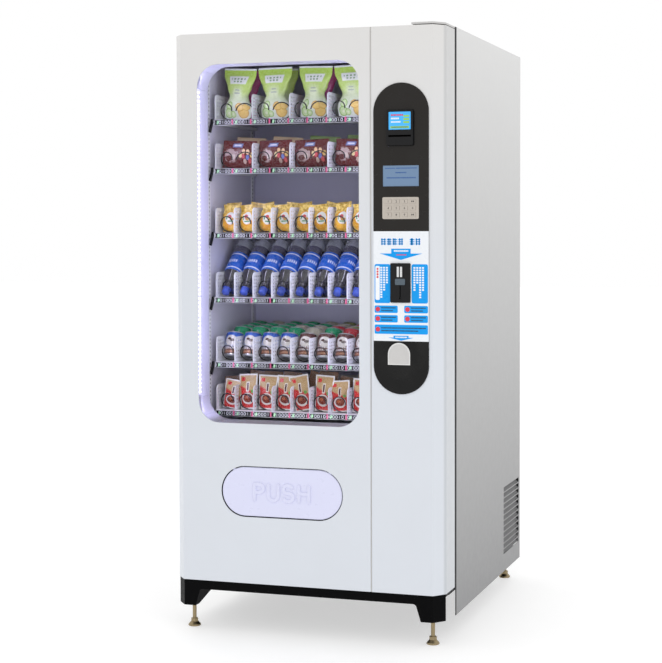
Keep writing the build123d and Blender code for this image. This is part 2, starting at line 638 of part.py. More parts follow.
with BuildPart() as cabinet_frame:
    across = (-WALL_IN, WALL_IN)
    block(across, (BODY_FRONT, BODY_FRONT + POST), (FRAME_TOP + JOINT, CABINET_TOP - SHEET))
    block(across, (BODY_FRONT, BODY_FRONT + POST), (BASE_TOP, WELL_LOW - FOAM - JOINT))
    block((WALL_IN - POST, WALL_IN), (BODY_FRONT, BODY_FRONT + POST), (WELL_LOW - FOAM, FRAME_TOP))
    block(across, (BACK_IN - POST, BACK_IN), (FRAME_TOP + JOINT, CABINET_TOP - SHEET))
    for low, high in ((-WALL_IN, -WALL_IN + POST), (WALL_IN - POST, WALL_IN)):
        block((low, high), (BACK_IN - POST, BACK_IN), (BASE_TOP, FRAME_TOP))
        block(
            (low, high),
            (BODY_FRONT + POST + JOINT, BACK_IN - POST - JOINT),
            (FRAME_TOP + JOINT, CABINET_TOP - SHEET),
        )
save(cabinet_frame.part, "cabinet_frame")

LINER_FRONT = BODY_FRONT
FOAM_BACK = FOOD_BACK + FOAM

with BuildPart() as food_liner:
    # Foam-filled walls of the chilled compartment, one panel each.
    for low, high in ((-WALL_IN, FOOD_LEFT), (FOOD_RIGHT, WELL_RIGHT)):
        block((low, high), (LINER_FRONT, FOAM_BACK), (FOOD_LOW - FOAM, FRAME_TOP))
        block((low, high), (LINER_FRONT, WELL_BACK + FOAM), (WELL_LOW, FOOD_LOW - FOAM - JOINT))
    inside = (FOOD_LEFT + JOINT, FOOD_RIGHT - JOINT)
    block(inside, (LINER_FRONT, FOAM_BACK), (FOOD_HIGH, FRAME_TOP))
    block(inside, (FOOD_BACK, FOAM_BACK), (FOOD_LOW + JOINT, FOOD_HIGH - JOINT))
    block(inside, (WELL_BACK, FOAM_BACK), (FOOD_LOW - FOAM, FOOD_LOW))
    block(inside, (WELL_BACK, WELL_BACK + FOAM), (WELL_LOW + JOINT, FOOD_LOW - FOAM - JOINT))
    block((-WALL_IN, WELL_RIGHT), (LINER_FRONT, WELL_BACK + FOAM), (WELL_LOW - FOAM, WELL_LOW - JOINT))
save(food_liner.part, "food_liner")

VENT_LIFT = 40  # air slots above each tray's floor

with BuildPart() as duct_panel:
    block((FOOD_LEFT + 1, FOOD_RIGHT - 1), (DUCT_Y, DUCT_Y + SHEET), (FOOD_LOW + 1, FOOD_HIGH - 1))
    with BuildSketch(front_plane(DUCT_Y)):
        for level in TRAY_Z:
            with Locations(((FOOD_LEFT + FOOD_RIGHT) / 2, level + VENT_LIFT)):
                with GridLocations(60, 1, 8, 1):
                    SlotOverall(34, 8)
    extrude(amount=-SHEET, mode=Mode.SUBTRACT)
save(duct_panel.part, "duct_panel")

FIN_T, FIN_PITCH = 1.5, 12
COOLER_LEFT, COOLER_RIGHT = -360, 100
COOLER_FRONT, COOLER_BACK = 720, 800
COOLER_LOW, COOLER_HIGH = 670, 960
COOLER_PIPE_R, PIPE_ENDS = 6, 20

with BuildPart() as evaporator:
    for low in range(COOLER_LEFT, COOLER_RIGHT, FIN_PITCH):
        block((low, low + FIN_T), (COOLER_FRONT, COOLER_BACK), (COOLER_LOW, COOLER_HIGH))
    for level in range(COOLER_LOW + 30, COOLER_HIGH, 40):
        for depth in (COOLER_FRONT + 20, COOLER_BACK - 20):
            with Locations(((COOLER_LEFT + COOLER_RIGHT) / 2, FACE + depth, level)):
                Cylinder(COOLER_PIPE_R, COOLER_RIGHT - COOLER_LEFT + PIPE_ENDS, rotation=(0, 90, 0))
save(evaporator.part, "evaporator")

FAN_X, FAN_Z, FAN_Y = 150, 350, 905
FAN_R = 110
FAN_HUB = 28
BLADES = 5
BLADE_CHORD, BLADE_PITCH = 52, 28  # width of a blade, and its angle to the disc
RADIATOR_W, RADIATOR_LOW, RADIATOR_HIGH = 260, 230, 470
RADIATOR_FRONT, RADIATOR_BACK = 960, 1020
RADIATOR_PIPE_R = 5
SHROUD_W, SHROUD_H, SHROUD_DEPTH = 270, 250, 50
SHROUD_FRONT = FAN_Y - 22
SPOKE_FRONT, SPOKE_T = FAN_Y + 18, 10

with BuildPart() as condenser:
    for low in range(FAN_X - RADIATOR_W // 2, FAN_X + RADIATOR_W // 2, FIN_PITCH):
        block((low, low + FIN_T), (RADIATOR_FRONT, RADIATOR_BACK), (RADIATOR_LOW, RADIATOR_HIGH))
    for level in range(RADIATOR_LOW + 20, RADIATOR_HIGH, 30):
        with Locations((FAN_X, FACE + (RADIATOR_FRONT + RADIATOR_BACK) / 2, level)):
            Cylinder(RADIATOR_PIPE_R, RADIATOR_W + PIPE_ENDS, rotation=(0, 90, 0))
    # The fan's shroud and the motor that its spokes carry.
    with BuildSketch(front_plane(SHROUD_FRONT)):
        with Locations((FAN_X, FAN_Z)):
            Rectangle(SHROUD_W, SHROUD_H)
            Circle(FAN_R + 6, mode=Mode.SUBTRACT)
    extrude(amount=-SHROUD_DEPTH)
    with BuildSketch(front_plane(SPOKE_FRONT)):
        with Locations((FAN_X, FAN_Z)):
            Circle(FAN_HUB + 6)
            Rectangle(SHROUD_W, SPOKE_T)
    extrude(amount=-SPOKE_T)
    block(
        (FAN_X - SHROUD_W / 2, FAN_X + SHROUD_W / 2),
        (SHROUD_FRONT + SHROUD_DEPTH, RADIATOR_FRONT + 2),
        (RADIATOR_LOW - 4, RADIATOR_LOW + 6),
    )
save(condenser.part, "condenser")

with BuildPart() as fan_blades:
    with Locations((FAN_X, FACE + FAN_Y, FAN_Z)):
        Cylinder(FAN_HUB, 30, rotation=(90, 0, 0))
        for blade in range(BLADES):
            turn = 360 / BLADES * blade
            middle = (FAN_HUB + FAN_R - 8) / 2
            x, z = middle * cos(radians(turn)), middle * sin(radians(turn))
            with Locations(Location((x, 0, z), (0, -turn, 0)) * Location((0, 0, 0), (BLADE_PITCH, 0, 0))):
                Box(FAN_R - FAN_HUB - 4, SHEET, BLADE_CHORD)
save(fan_blades.part, "fan_blades")

CAN_X, CAN_Y, CAN_R = -190, 790, 90
CAN_H, CAN_DOME = 170, 45
BED_X, BED_Y, BED_T = 110, 90, 22  # half sizes of the compressor's bed plate
BUSH_X, BUSH_Y, BUSH_R, BUSH_H = 100, 80, 14, 20

with BuildPart() as compressor:
    with BuildSketch(Plane.XY.offset(BASE_TOP + BUSH_H + BED_T - 2)):
        with Locations((CAN_X, FACE + CAN_Y)):
            Circle(CAN_R)
    extrude(amount=CAN_H)
    fillet(compressor.faces().sort_by(Axis.Z)[-1].edges(), radius=CAN_DOME)
    block(
        (CAN_X - BED_X, CAN_X + BED_X),
        (CAN_Y - BED_Y, CAN_Y + BED_Y),
        (BASE_TOP + BUSH_H, BASE_TOP + BUSH_H + BED_T),
    )
    with Locations((CAN_X, FACE + CAN_Y, BASE_TOP + BUSH_H / 2)):
        with GridLocations(2 * BUSH_X, 2 * BUSH_Y, 2, 2):
            Cylinder(BUSH_R, BUSH_H)
save(compressor.part, "compressor")

SUPPLY_X = (240, 330)
SUPPLY_Y = (400, 620)
SUPPLY_Z = (1150, 1420)
BOARD_TOP = 1500  # top of the control board's box on the supply
BRACKET_Z = (1200, 1240)

with BuildPart() as power_supply:
    block(SUPPLY_X, SUPPLY_Y, SUPPLY_Z)
    block(
        (SUPPLY_X[0] + 10, SUPPLY_X[1] - 10),
        (SUPPLY_Y[0] + 10, SUPPLY_Y[1] - 10),
        (SUPPLY_Z[1] + 2 * JOINT, BOARD_TOP),
    )
    block((WELL_RIGHT, SUPPLY_X[0]), (SUPPLY_Y[0] + 30, SUPPLY_Y[1] - 30), BRACKET_Z)
save(power_supply.part, "power_supply")

# ---------------------------------------------------------------- base, feet and hinges
LEG_IN, LEG_OUT = 382, 432
LEG_TOP_IN = 361
SEAT_LOW, SEAT_T = 97, 4  # plate inside a front leg that its foot screws into
SEAT_FRONT, SEAT_BACK = CHAMFER_Y - 12, 76
GUSSET_T = 3
GUSSET_TOE, GUSSET_HEEL = 32, 250  # where the gusset's lower edge starts and stops rising
GUSSET_TOP = 150  # the gusset is full height as far back as this
REAR_LEG = (1030, 1108)
APRON_T = 3
BASE_IN = 2  # how far the base stands in from the door's outline
DECK_X = 441  # half width of the deck, which stays clear of the louvre blades
PLATE_LOW = BASE_TOP - BASE_PLATE


def apron_section(inset):
    """Plan outline of the base's front, bevelled like the door."""
    edge = WIDTH / 2 - CHAMFER_X
    points = [(-WIDTH / 2 + inset, FACE + CHAMFER_Y), (-edge + inset / 2, FACE + inset)]
    points += [(edge - inset / 2, FACE + inset), (WIDTH / 2 - inset, FACE + CHAMFER_Y)]
    return points


with BuildPart() as base_frame:
    # Top plate, under the door and under the front of the cabinet.
    with BuildSketch(Plane.XY.offset(PLATE_LOW)):
        with BuildLine():
            back_edge = WIDTH / 2 - BASE_IN
            back = [(back_edge, FACE + CABINET_FRONT), (-back_edge, FACE + CABINET_FRONT)]
            Polyline(apron_section(BASE_IN) + back, close=True)
        make_face()
    extrude(amount=BASE_PLATE)
    # Folded apron with two legs, welded under the plate.
    with BuildSketch(Plane.XY.offset(LEG_LOW)):
        with BuildLine():
            Polyline(apron_section(BASE_IN) + apron_section(BASE_IN + APRON_T)[::-1], close=True)
        make_face()
    extrude(amount=PLATE_LOW - JOINT - LEG_LOW)
    with BuildSketch(front_plane(-1)):
        with BuildLine():
            FilletPolyline(
                (-LEG_IN, LEG_LOW - 1),
                (-LEG_TOP_IN - 4, BASE_LOW),
                (LEG_TOP_IN + 4, BASE_LOW),
                (LEG_IN, LEG_LOW - 1),
                radius=12,
            )
            Line((LEG_IN, LEG_LOW - 1), (-LEG_IN, LEG_LOW - 1))
        make_face()
    extrude(amount=-CHAMFER_Y - BASE_IN, mode=Mode.SUBTRACT)
    for side in (-1, 1):
        leg = sorted((side * LEG_IN, side * LEG_OUT))
        seat = sorted((side * (LEG_IN + GUSSET_T + JOINT), side * LEG_OUT))
        block(seat, (SEAT_FRONT, SEAT_BACK), (SEAT_LOW, SEAT_LOW + SEAT_T))
        # Three-cornered gusset that braces the leg from behind.
        with BuildSketch(Plane.YZ.offset(side * (LEG_IN + GUSSET_T / 2))):
            with BuildLine():
                Polyline(
                    (FACE + BASE_IN + APRON_T + JOINT, LEG_LOW),
                    (FACE + GUSSET_TOE, LEG_LOW),
                    (FACE + GUSSET_HEEL, BASE_LOW - JOINT),
                    (FACE + GUSSET_TOP, BASE_LOW - JOINT),
                    (FACE + GUSSET_TOP, PLATE_LOW - JOINT),
                    (FACE + BASE_IN + APRON_T + JOINT, PLATE_LOW - JOINT),
                    close=True,
                )
            make_face()
        extrude(amount=GUSSET_T / 2, both=True)
        # Side member and rear leg.
        block(leg, (CABINET_FRONT + JOINT, REAR_LEG[0]), (BASE_LOW, PLATE_LOW - JOINT))
        block(leg, (REAR_LEG[0] + JOINT, REAR_LEG[1]), (LEG_LOW, PLATE_LOW - JOINT))
    block((-DECK_X, DECK_X), (CABINET_FRONT + SHEET + JOINT, DEPTH), (PLATE_LOW, BASE_TOP))
save(base_frame.part, "base_frame")

PAD_SPREAD, PAD_EDGE, PAD_THICK = 19, 21, 6
BOLT_R = 6.5
NUT_LOW, NUT_T, NUT_R = 14, 11, 12.5

with BuildPart() as levelling_feet:
    rows = ((FOOT_FRONT, SEAT_LOW), (FOOT_REAR, LEG_LOW))
    for x, (y, bolt_top) in product((-FOOT_X, FOOT_X), rows):
        spot = (x, FACE + y, 0)
        with BuildSketch(Plane(origin=spot, x_dir=(1, 0, 0), z_dir=(0, -1, 0))):
            with BuildLine():
                Polyline(
                    (0, 0),
                    (PAD_SPREAD, 0),
                    (PAD_EDGE, 2),
                    (PAD_EDGE - 1, PAD_THICK),
                    (NUT_R, NUT_LOW),
                    (BOLT_R, NUT_LOW),
                    (BOLT_R, bolt_top),
                    (0, bolt_top),
                    close=True,
                )
            make_face()
        revolve(axis=Axis(spot, (0, 0, 1)))
        with BuildSketch(Plane.XY.offset(NUT_LOW)):
            with Locations(spot[:2]):
                RegularPolygon(NUT_R, 6)
        extrude(amount=NUT_T)
save(levelling_feet.part, "levelling_feet")

HINGE_PLATE_T = 6
HINGE_PLATE_Z = CABINET_TOP - HINGE_PLATE_T
HINGE_LEFT = 353
PIN_REACH = 14  # how far the pins go into the door
WASHER_R = 10

with BuildPart() as hinge_brackets:
    with BuildSketch(Plane.XY.offset(HINGE_PLATE_Z)):
        with BuildLine():
            Polyline(
                (HINGE_LEFT, FACE + CABINET_FRONT),
                (HINGE_LEFT, FACE + 3),
                (WIDTH / 2 - CHAMFER_X - 1, FACE + 3),
                (WIDTH / 2 - 2, FACE + CHAMFER_Y + 1),
                (WIDTH / 2 - 2, FACE + CABINET_FRONT),
                close=True,
            )
        make_face()
    extrude(amount=HINGE_PLATE_T)
    block(
        (HINGE_LEFT + 8, WALL_IN - 3),
        (CABINET_FRONT - 4, CABINET_FRONT),
        (GASKET_HIGH + 3, HINGE_PLATE_Z),
    )
    with Locations((HINGE_X, FACE + HINGE_Y, (DOOR_TOP - PIN_REACH + HINGE_PLATE_Z) / 2)):
        Cylinder(HINGE_PIN_R, HINGE_PLATE_Z - DOOR_TOP + PIN_REACH)
    # Lower pin with the washer that the door rests on.
    with Locations((HINGE_X, FACE + HINGE_Y, (BASE_TOP + DOOR_BOTTOM + PIN_REACH) / 2)):
        Cylinder(HINGE_PIN_R, DOOR_BOTTOM + PIN_REACH - BASE_TOP)
    with Locations((HINGE_X, FACE + HINGE_Y, (BASE_TOP + DOOR_BOTTOM) / 2)):
        Cylinder(WASHER_R, DOOR_BOTTOM - BASE_TOP)
save(hinge_brackets.part, "hinge_brackets")

# ---------------------------------------------------------------- trays, lanes and spirals
TRAY_LEFT = LANE_LEFT - 2
TRAY_RIGHT = LANE_LEFT + LANES * LANE_PITCH + 2
RAIL_T = 3
TRAY_BACK_H = 100
RUNNER_BACK = 600  # the trays' runners reach the rear rails
RUNNER_LOW, RUNNER_HIGH = 14, 4  # below the tray's floor
LIP_FRONT = TRAY_FRONT - 8

with BuildPart() as product_trays:
    for level in TRAY_Z:
        block((TRAY_LEFT, TRAY_RIGHT), (LIP_FRONT + SHEET + JOINT, TRAY_BACK - JOINT), (level - SHEET, level))
        block((TRAY_LEFT, TRAY_RIGHT), (LIP_FRONT, LIP_FRONT + SHEET), (level - LIP_H, level))
        runner_z = (level - RUNNER_LOW, level - RUNNER_HIGH)
        for edge, wall in ((TRAY_LEFT, FOOD_LEFT + RAIL_T), (TRAY_RIGHT, FOOD_RIGHT - RAIL_T)):
            block(sorted((edge, wall)), (TRAY_FRONT + 6, RUNNER_BACK), runner_z)
        block((TRAY_LEFT, TRAY_RIGHT), (TRAY_BACK, TRAY_BACK + SHEET), (level, level + TRAY_BACK_H))
        axis_z = level + COIL_LIFT
        for lane in range(LANES):
            with Locations((lane_middle(lane), FACE + TRAY_BACK, axis_z)):
                Cylinder(SHAFT_R + CLEAR, 4 * SHEET, rotation=(90, 0, 0), mode=Mode.SUBTRACT)
save(product_trays.part, "product_trays")


HOLE_COLUMNS, HOLE_ROWS = 4, 6
HOLE_STEP, HOLE_PITCH = 16, 11.5
HOLE_LONG, HOLE_H = 10, 5
DIVIDER_R = 16

with BuildPart() as divider:
    with BuildSketch(Plane.YZ.offset(-DIVIDER_T / 2)) as side_view:
        with Locations((FACE + (TRAY_FRONT + TRAY_BACK - 1) / 2, DIVIDER_H / 2)):
            Rectangle(TRAY_BACK - TRAY_FRONT - 1, DIVIDER_H)
        fillet(side_view.vertices().group_by(Axis.X)[0].sort_by(Axis.Y)[-1], radius=DIVIDER_R)
        with Locations((FACE + TRAY_FRONT + 12 + HOLE_STEP * HOLE_COLUMNS / 2, DIVIDER_H / 2)):
            with GridLocations(HOLE_STEP, HOLE_PITCH, HOLE_COLUMNS, HOLE_ROWS):
                SlotOverall(HOLE_LONG, HOLE_H, mode=Mode.SUBTRACT)
    extrude(amount=DIVIDER_T)

with BuildPart() as lane_dividers:
    spots = []
    for tray, level in enumerate(TRAY_Z):
        step = 2 if tray < WIDE_TRAYS else 1
        spots += [(LANE_LEFT + LANE_PITCH * edge, 0, level) for edge in range(0, LANES + 1, step)]
    with Locations(spots):
        add(divider.part)
save(lane_dividers.part, "lane_dividers")

HOOK_T, HOOK_LONG = 7, 43

with BuildPart() as tray_latches:
    # A plastic hook at both front corners of each tray, which drops over the wall rail.
    for level in TRAY_Z:
        for side, edge in ((-1, TRAY_LEFT), (1, TRAY_RIGHT)):
            with BuildSketch(front_plane(TRAY_FRONT - 10)):
                with BuildLine():
                    Polyline(
                        (edge + side * 1, level + 4),
                        (edge + side * 6, level + 3),
                        (edge + side * 15, level - HOOK_LONG + 3),
                        (edge + side * 8, level - HOOK_LONG),
                        (edge - side * 1, level - 8),
                        close=True,
                    )
                make_face()
            extrude(amount=HOOK_T)
save(tray_latches.part, "tray_latches")

RAIL_HOLE_PITCH = 13.5
RAIL_LOW, RAIL_HIGH = 650, 1856
RAIL_W = 18
RAIL_FRONT, RAIL_REAR = 204, 597  # middles of the front and rear rails
RAIL_MIDDLE = (RAIL_LOW + RAIL_HIGH) / 2
RAIL_HOLES = int((RAIL_HIGH - RAIL_LOW - 12) / RAIL_HOLE_PITCH)

with BuildPart() as tray_rails:
    for wall in (FOOD_LEFT, FOOD_RIGHT - RAIL_T):
        with BuildSketch(Plane.YZ.offset(wall)):
            with Locations((FACE + RAIL_FRONT, RAIL_MIDDLE), (FACE + RAIL_REAR, RAIL_MIDDLE)):
                Rectangle(RAIL_W, RAIL_HIGH - RAIL_LOW)
                with GridLocations(1, RAIL_HOLE_PITCH, 1, RAIL_HOLES):
                    Rectangle(4.5, 6.5, mode=Mode.SUBTRACT)
        extrude(amount=RAIL_T)
save(tray_rails.part, "tray_rails")

MOTOR_W, MOTOR_DEPTH, MOTOR_H = 46, 48, 62
MOTOR_Y = FACE + TRAY_BACK + SHEET + JOINT + MOTOR_DEPTH / 2

with BuildPart() as spiral_motors:
    spots = [(lane_middle(lane), MOTOR_Y, level + COIL_LIFT + 8) for level in TRAY_Z for lane in range(LANES)]
    with Locations(spots):
        Box(MOTOR_W, MOTOR_DEPTH, MOTOR_H)
save(spiral_motors.part, "spiral_motors")

DISC_T = 5
DISC_R = COIL_R + WIRE / 2 + 0.4


def spiral(tray, lane):
    """A sprung wire spiral on its drive disc, with the stub shaft that the motor turns."""
    turns = TRAY_TURNS[tray]
    middle = (lane_middle(lane), FACE + COIL_FRONT, TRAY_Z[tray] + COIL_LIFT)
    length = COIL_BACK - COIL_FRONT
    # The two spirals of a pair are wound opposite ways; each starts outwards, over the top.
    mirrored = tray < WIDE_TRAYS and lane % 2 == 1
    outwards = -1 if mirrored else 1
    with BuildPart() as coil:
        with BuildLine():
            path = Helix(length / turns, length, COIL_R, lefthand=not mirrored)
        with BuildSketch(Plane(origin=path @ 0, z_dir=path % 0)):
            RegularPolygon(WIRE / 2, 6)
        sweep(path=path, is_frenet=True)
        with Locations((0, 0, length)):
            Cylinder(DISC_R, DISC_T)
        with Locations((0, 0, length + DISC_T)):
            Cylinder(SHAFT_R, 2 * (TRAY_BACK + SHEET - COIL_BACK - DISC_T))
    return Plane(origin=middle, x_dir=(outwards, 0, 0), z_dir=(0, 1, 0)) * coil.part


still = []
for tray in range(len(TRAY_Z)):
    pair = tray < WIDE_TRAYS
    live = {LIVE_LANE: "b" if pair else ""}
    if pair:
        live[LIVE_LANE - 1] = "a"
    for lane in range(LANES):
        coil = spiral(tray, lane)
        if lane in live:
            save(coil, f"spiral_{tray + 1}{live[lane]}")
        else:
            still.append(coil)
save(Compound(still), "fixed_spirals")
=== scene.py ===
import json
import math
import random

import bmesh
import bpy
from mathutils import Matrix, Vector, noise


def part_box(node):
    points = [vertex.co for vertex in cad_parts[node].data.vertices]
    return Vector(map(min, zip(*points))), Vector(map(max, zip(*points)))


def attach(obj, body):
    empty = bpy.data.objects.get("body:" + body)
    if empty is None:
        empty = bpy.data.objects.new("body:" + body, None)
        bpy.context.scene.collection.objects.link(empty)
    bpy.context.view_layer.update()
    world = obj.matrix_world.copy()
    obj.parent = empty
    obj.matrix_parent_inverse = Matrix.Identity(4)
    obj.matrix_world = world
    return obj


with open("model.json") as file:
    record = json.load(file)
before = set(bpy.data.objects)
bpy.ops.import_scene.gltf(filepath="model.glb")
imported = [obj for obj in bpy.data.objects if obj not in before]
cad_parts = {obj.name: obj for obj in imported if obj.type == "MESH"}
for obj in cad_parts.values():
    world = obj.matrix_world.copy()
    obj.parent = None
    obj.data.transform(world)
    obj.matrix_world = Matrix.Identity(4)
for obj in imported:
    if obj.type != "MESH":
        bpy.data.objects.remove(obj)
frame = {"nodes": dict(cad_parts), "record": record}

# Looks of the snack vending machine.  Metres, +Z up, the front faces -Y.
# Sizes written in millimetres go through MM or through at().

MM = 0.001
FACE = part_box("door_skin")[0].y  # the flat face of the door
rng = random.Random(7)


def at(x, y, z):
    """A point in the row frame from millimetres; y counts back from the door's face."""
    return Vector((x * MM, FACE + y * MM, z * MM))


def front_of(node):
    """How far a piece's front lies behind the door's face, in millimetres."""
    return (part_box(node)[0].y - FACE) / MM


# Camera.
YAW, PITCH, ROLL = math.radians(17.754), math.radians(2.170), math.radians(-0.125)


def make_camera():
    forward = Vector(
        (-math.sin(YAW) * math.cos(PITCH), math.cos(YAW) * math.cos(PITCH), -math.sin(PITCH))
    )
    right = Vector((math.cos(YAW), math.sin(YAW), 0))
    up = right.cross(forward)
    side = right * math.cos(ROLL) + up * math.sin(ROLL)
    top = up * math.cos(ROLL) - right * math.sin(ROLL)
    data = bpy.data.cameras.new("camera")
    data.sensor_width = 36
    data.lens = 87.04
    data.shift_x, data.shift_y = -0.0498, -0.0626
    camera = bpy.data.objects.new("camera", data)
    bpy.context.scene.collection.objects.link(camera)
    turn = Matrix((side, top, -forward)).transposed()
    camera.matrix_world = Matrix.Translation((1.7296, FACE - 4.7811, 1.3065)) @ turn.to_4x4()
    bpy.context.scene.camera = camera


make_camera()
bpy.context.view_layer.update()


# Material helper.
class Graph:
    """A node material; most methods return the output socket that they make."""

    def __init__(self, name):
        self.material = bpy.data.materials.new(name)
        self.material.use_nodes = True
        self.tree = self.material.node_tree
        self.tree.nodes.clear()
        self.place = None

    def node(self, kind, values=None, **settings):
        made = self.tree.nodes.new(kind)
        for key, value in settings.items():
            setattr(made, key, value)
        for key, value in (values or {}).items():
            self.feed(made.inputs[key], value)
        return made

    def feed(self, socket, value):
        if isinstance(value, bpy.types.NodeSocket):
            self.tree.links.new(value, socket)
        elif socket.type == "RGBA" and len(value) == 3:
            socket.default_value = (*value, 1)
        else:
            socket.default_value = value

    def point(self):
        if self.place is None:
            self.place = self.node("ShaderNodeTexCoord").outputs["Object"]
        return self.place

    def design(self):
        """Across, up and seed of the piece's print, each from 0 to 1."""
        found = self.node("ShaderNodeAttribute", attribute_name="design")
        return self.split(found.outputs["Vector"])

    def split(self, vector):
        return list(self.node("ShaderNodeSeparateXYZ", {0: vector}).outputs)

    def join(self, x, y, z):
        return self.node("ShaderNodeCombineXYZ", {0: x, 1: y, 2: z}).outputs[0]

    def math(self, operation, a, b=0.0, clamp=False):
        made = self.node("ShaderNodeMath", {0: a, 1: b}, operation=operation, use_clamp=clamp)
        return made.outputs[0]

    def mix(self, factor, a, b):
        made = self.node("ShaderNodeMix", {0: factor, 6: a, 7: b}, data_type="RGBA")
        return made.outputs[2]

    def noise(self, scale, detail=2.0, vector=None):
        values = {"Vector": vector or self.point(), "Scale": scale, "Detail": detail}
        return self.node("ShaderNodeTexNoise", values).outputs[0]

    def ramp(self, value, low, high, out_low=0.0, out_high=1.0):
        values = {0: value, 1: low, 2: high, 3: out_low, 4: out_high}
        made = self.node("ShaderNodeMapRange", values, interpolation_type="SMOOTHSTEP")
        return made.outputs[0]

    def disc(self, u, v, middle, radii, soft=0.08):
        x = self.math("DIVIDE", self.math("SUBTRACT", u, middle[0]), radii[0])
        y = self.math("DIVIDE", self.math("SUBTRACT", v, middle[1]), radii[1])
        far = self.math("ADD", self.math("MULTIPLY", x, x), self.math("MULTIPLY", y, y))
        return self.ramp(far, 1 - soft, 1 + soft, 1.0, 0.0)

    def bar(self, u, v, across, up, soft=0.012):
        mask = None
        for value, (low, high) in ((u, across), (v, up)):
            part = self.math(
                "MULTIPLY",
                self.ramp(value, low - soft, low + soft),
                self.ramp(value, high - soft, high + soft, 1.0, 0.0),
            )
            mask = part if mask is None else self.math("MULTIPLY", mask, part)
        return mask

    def finish(self, colour, rough, bump=None, **more):
        """Wires the Principled shader; bump is (height socket, depth in millimetres)."""
        values = {"Base Color": colour, "Roughness": rough, **more}
        if bump:
            lift = {"Height": bump[0], "Distance": bump[1] * MM, "Strength": 1.0}
            values["Normal"] = self.node("ShaderNodeBump", lift).outputs[0]
        shader = self.node("ShaderNodeBsdfPrincipled", values)
        self.output(shader.outputs[0])
        return self.material

    def output(self, shader):
        self.node("ShaderNodeOutputMaterial", {0: shader})


def plain(name, colour, rough, grain=300.0, depth=0.02, spread=0.06, **more):
    """A material whose tone, gloss and surface vary a little from place to place."""
    g = Graph(name)
    dark = tuple(c * (1 - spread) for c in colour)
    light = tuple(min(1.0, c * (1 + spread)) for c in colour)
    tone = g.mix(g.noise(grain / 12, 4.0), dark, light)
    gloss = g.ramp(g.noise(grain / 5), 0.3, 0.7, max(0.02, rough - 0.05), min(1.0, rough + 0.05))
    return g.finish(tone, gloss, (g.noise(grain, 3.0), depth), **more)


def sheen(level):
    """The shader input that sets how strongly a surface mirrors."""
    return {"Specular IOR Level": level}


def enamel():
    """White powder coat, warmer towards the top, with painted shade on the door's side face at the lock side.
    """
    g = Graph("white_enamel")
    x, y, z = g.split(g.point())
    tone = g.mix(g.ramp(z, 0.9, 2.1), (0.680, 0.712, 0.765), (0.710, 0.697, 0.680))
    # Painted shade: the door's side face beyond the chamfer, at the lock side, is darkened to grey.
    tone = g.mix(g.ramp(x, 446.0 * MM, 452.0 * MM, 0.0, 0.45), tone, (0.40, 0.41, 0.42))
    worn = g.mix(g.ramp(g.noise(6.0, 4.0), 0.35, 0.7, 0.0, 0.06), tone, (0.55, 0.56, 0.58))
    gloss = g.ramp(g.noise(40.0), 0.3, 0.7, 0.30, 0.38)
    return g.finish(worn, gloss, (g.noise(700.0, 2.0), 0.03))


def side_enamel():
    """Grey powder coat, darkened towards the floor by painted shade, with a black front edge and louvre
    blades made dark grey by painted shade.
    """
    g = Graph("side_enamel")
    x, y, z = g.split(g.point())
    # Painted shade: the grey darkens steadily from the top down to the floor.
    values = {0: z, 1: 0.05, 2: 1.95, 3: 0.0, 4: 1.0}
    height = g.node("ShaderNodeMapRange", values).outputs[0]
    tone = g.mix(height, (0.215, 0.215, 0.22), (0.675, 0.675, 0.67))
    # Painted shade on the louvre blades, which lie inside the panel's outer face.
    louvre_blade_shade = g.ramp(g.math("ABSOLUTE", x), 452.4 * MM, 453.2 * MM, 1.0, 0.0)
    tone = g.mix(g.math("MULTIPLY", louvre_blade_shade, 0.85), tone, (0.055, 0.057, 0.062))
    edge = g.ramp(y, FACE + 166.0 * MM, FACE + 168.0 * MM, 1.0, 0.0)
    tone = g.mix(edge, tone, (0.012, 0.012, 0.014))
    worn = g.mix(g.ramp(g.noise(5.0, 4.0), 0.35, 0.7, 0.0, 0.015), tone, (0.3, 0.3, 0.3))
    return g.finish(worn, g.ramp(g.noise(40.0), 0.3, 0.7, 0.40, 0.44), (g.noise(700.0), 0.006))


def clear_glass():
    """Thin clear sheet: it lets light through straight and mirrors a little."""
    g = Graph("clear_glass")
    tint = g.mix(g.noise(3.0), (0.965, 0.975, 0.975), (0.985, 0.99, 0.99))
    see = g.node("ShaderNodeBsdfTransparent", {0: tint}).outputs[0]
    rough = g.ramp(g.noise(20.0), 0.3, 0.7, 0.01, 0.03)
    shine = g.node("ShaderNodeBsdfGlossy", {"Color": (0.9, 0.9, 0.92), "Roughness": rough})
    share = g.node("ShaderNodeFresnel", {"IOR": 1.35}).outputs[0]
    mixed = g.node("ShaderNodeMixShader", {0: g.math("MULTIPLY", share, 0.22), 1: see, 2: shine.outputs[0]})
    g.output(mixed.outputs[0])
    return g.material


def led_cover():
    """Lit cover with a brighter spot at every diode."""
    g = Graph("led_cover")
    z = g.split(g.point())[2]
    wave = g.math("SINE", g.math("MULTIPLY", z, 2 * math.pi / (14 * MM)))
    spot = g.ramp(wave, -0.2, 0.9)
    glow = g.mix(spot, (0.62, 0.60, 1.0), (0.95, 0.94, 1.0))
    power = g.ramp(wave, -0.2, 0.9, 0.75, 1.7)
    more = {"Emission Color": glow, "Emission Strength": power}
    return g.finish(glow, g.ramp(g.noise(30.0), 0.3, 0.7, 0.3, 0.4), **more)


def brushed(name, colour, rough, metallic=1.0):
    """Steel brushed along X, with fine lines and soft cloudy stains."""
    g = Graph(name)
    x, y, z = g.split(g.point())
    stretched = g.join(g.math("MULTIPLY", x, 8.0), g.math("MULTIPLY", y, 400.0), g.math("MULTIPLY", z, 400.0))
    lines = g.noise(6.0, 3.0, stretched)
    tone = g.mix(lines, tuple(c * 0.86 for c in colour), colour)
    tone = g.mix(g.ramp(g.noise(25.0, 3.0), 0.35, 0.75, 0.0, 0.25), tone, tuple(c * 0.8 for c in colour))
    gloss = g.ramp(lines, 0.3, 0.7, rough - 0.07, rough + 0.07)
    return g.finish(tone, gloss, (lines, 0.02), Metallic=metallic)


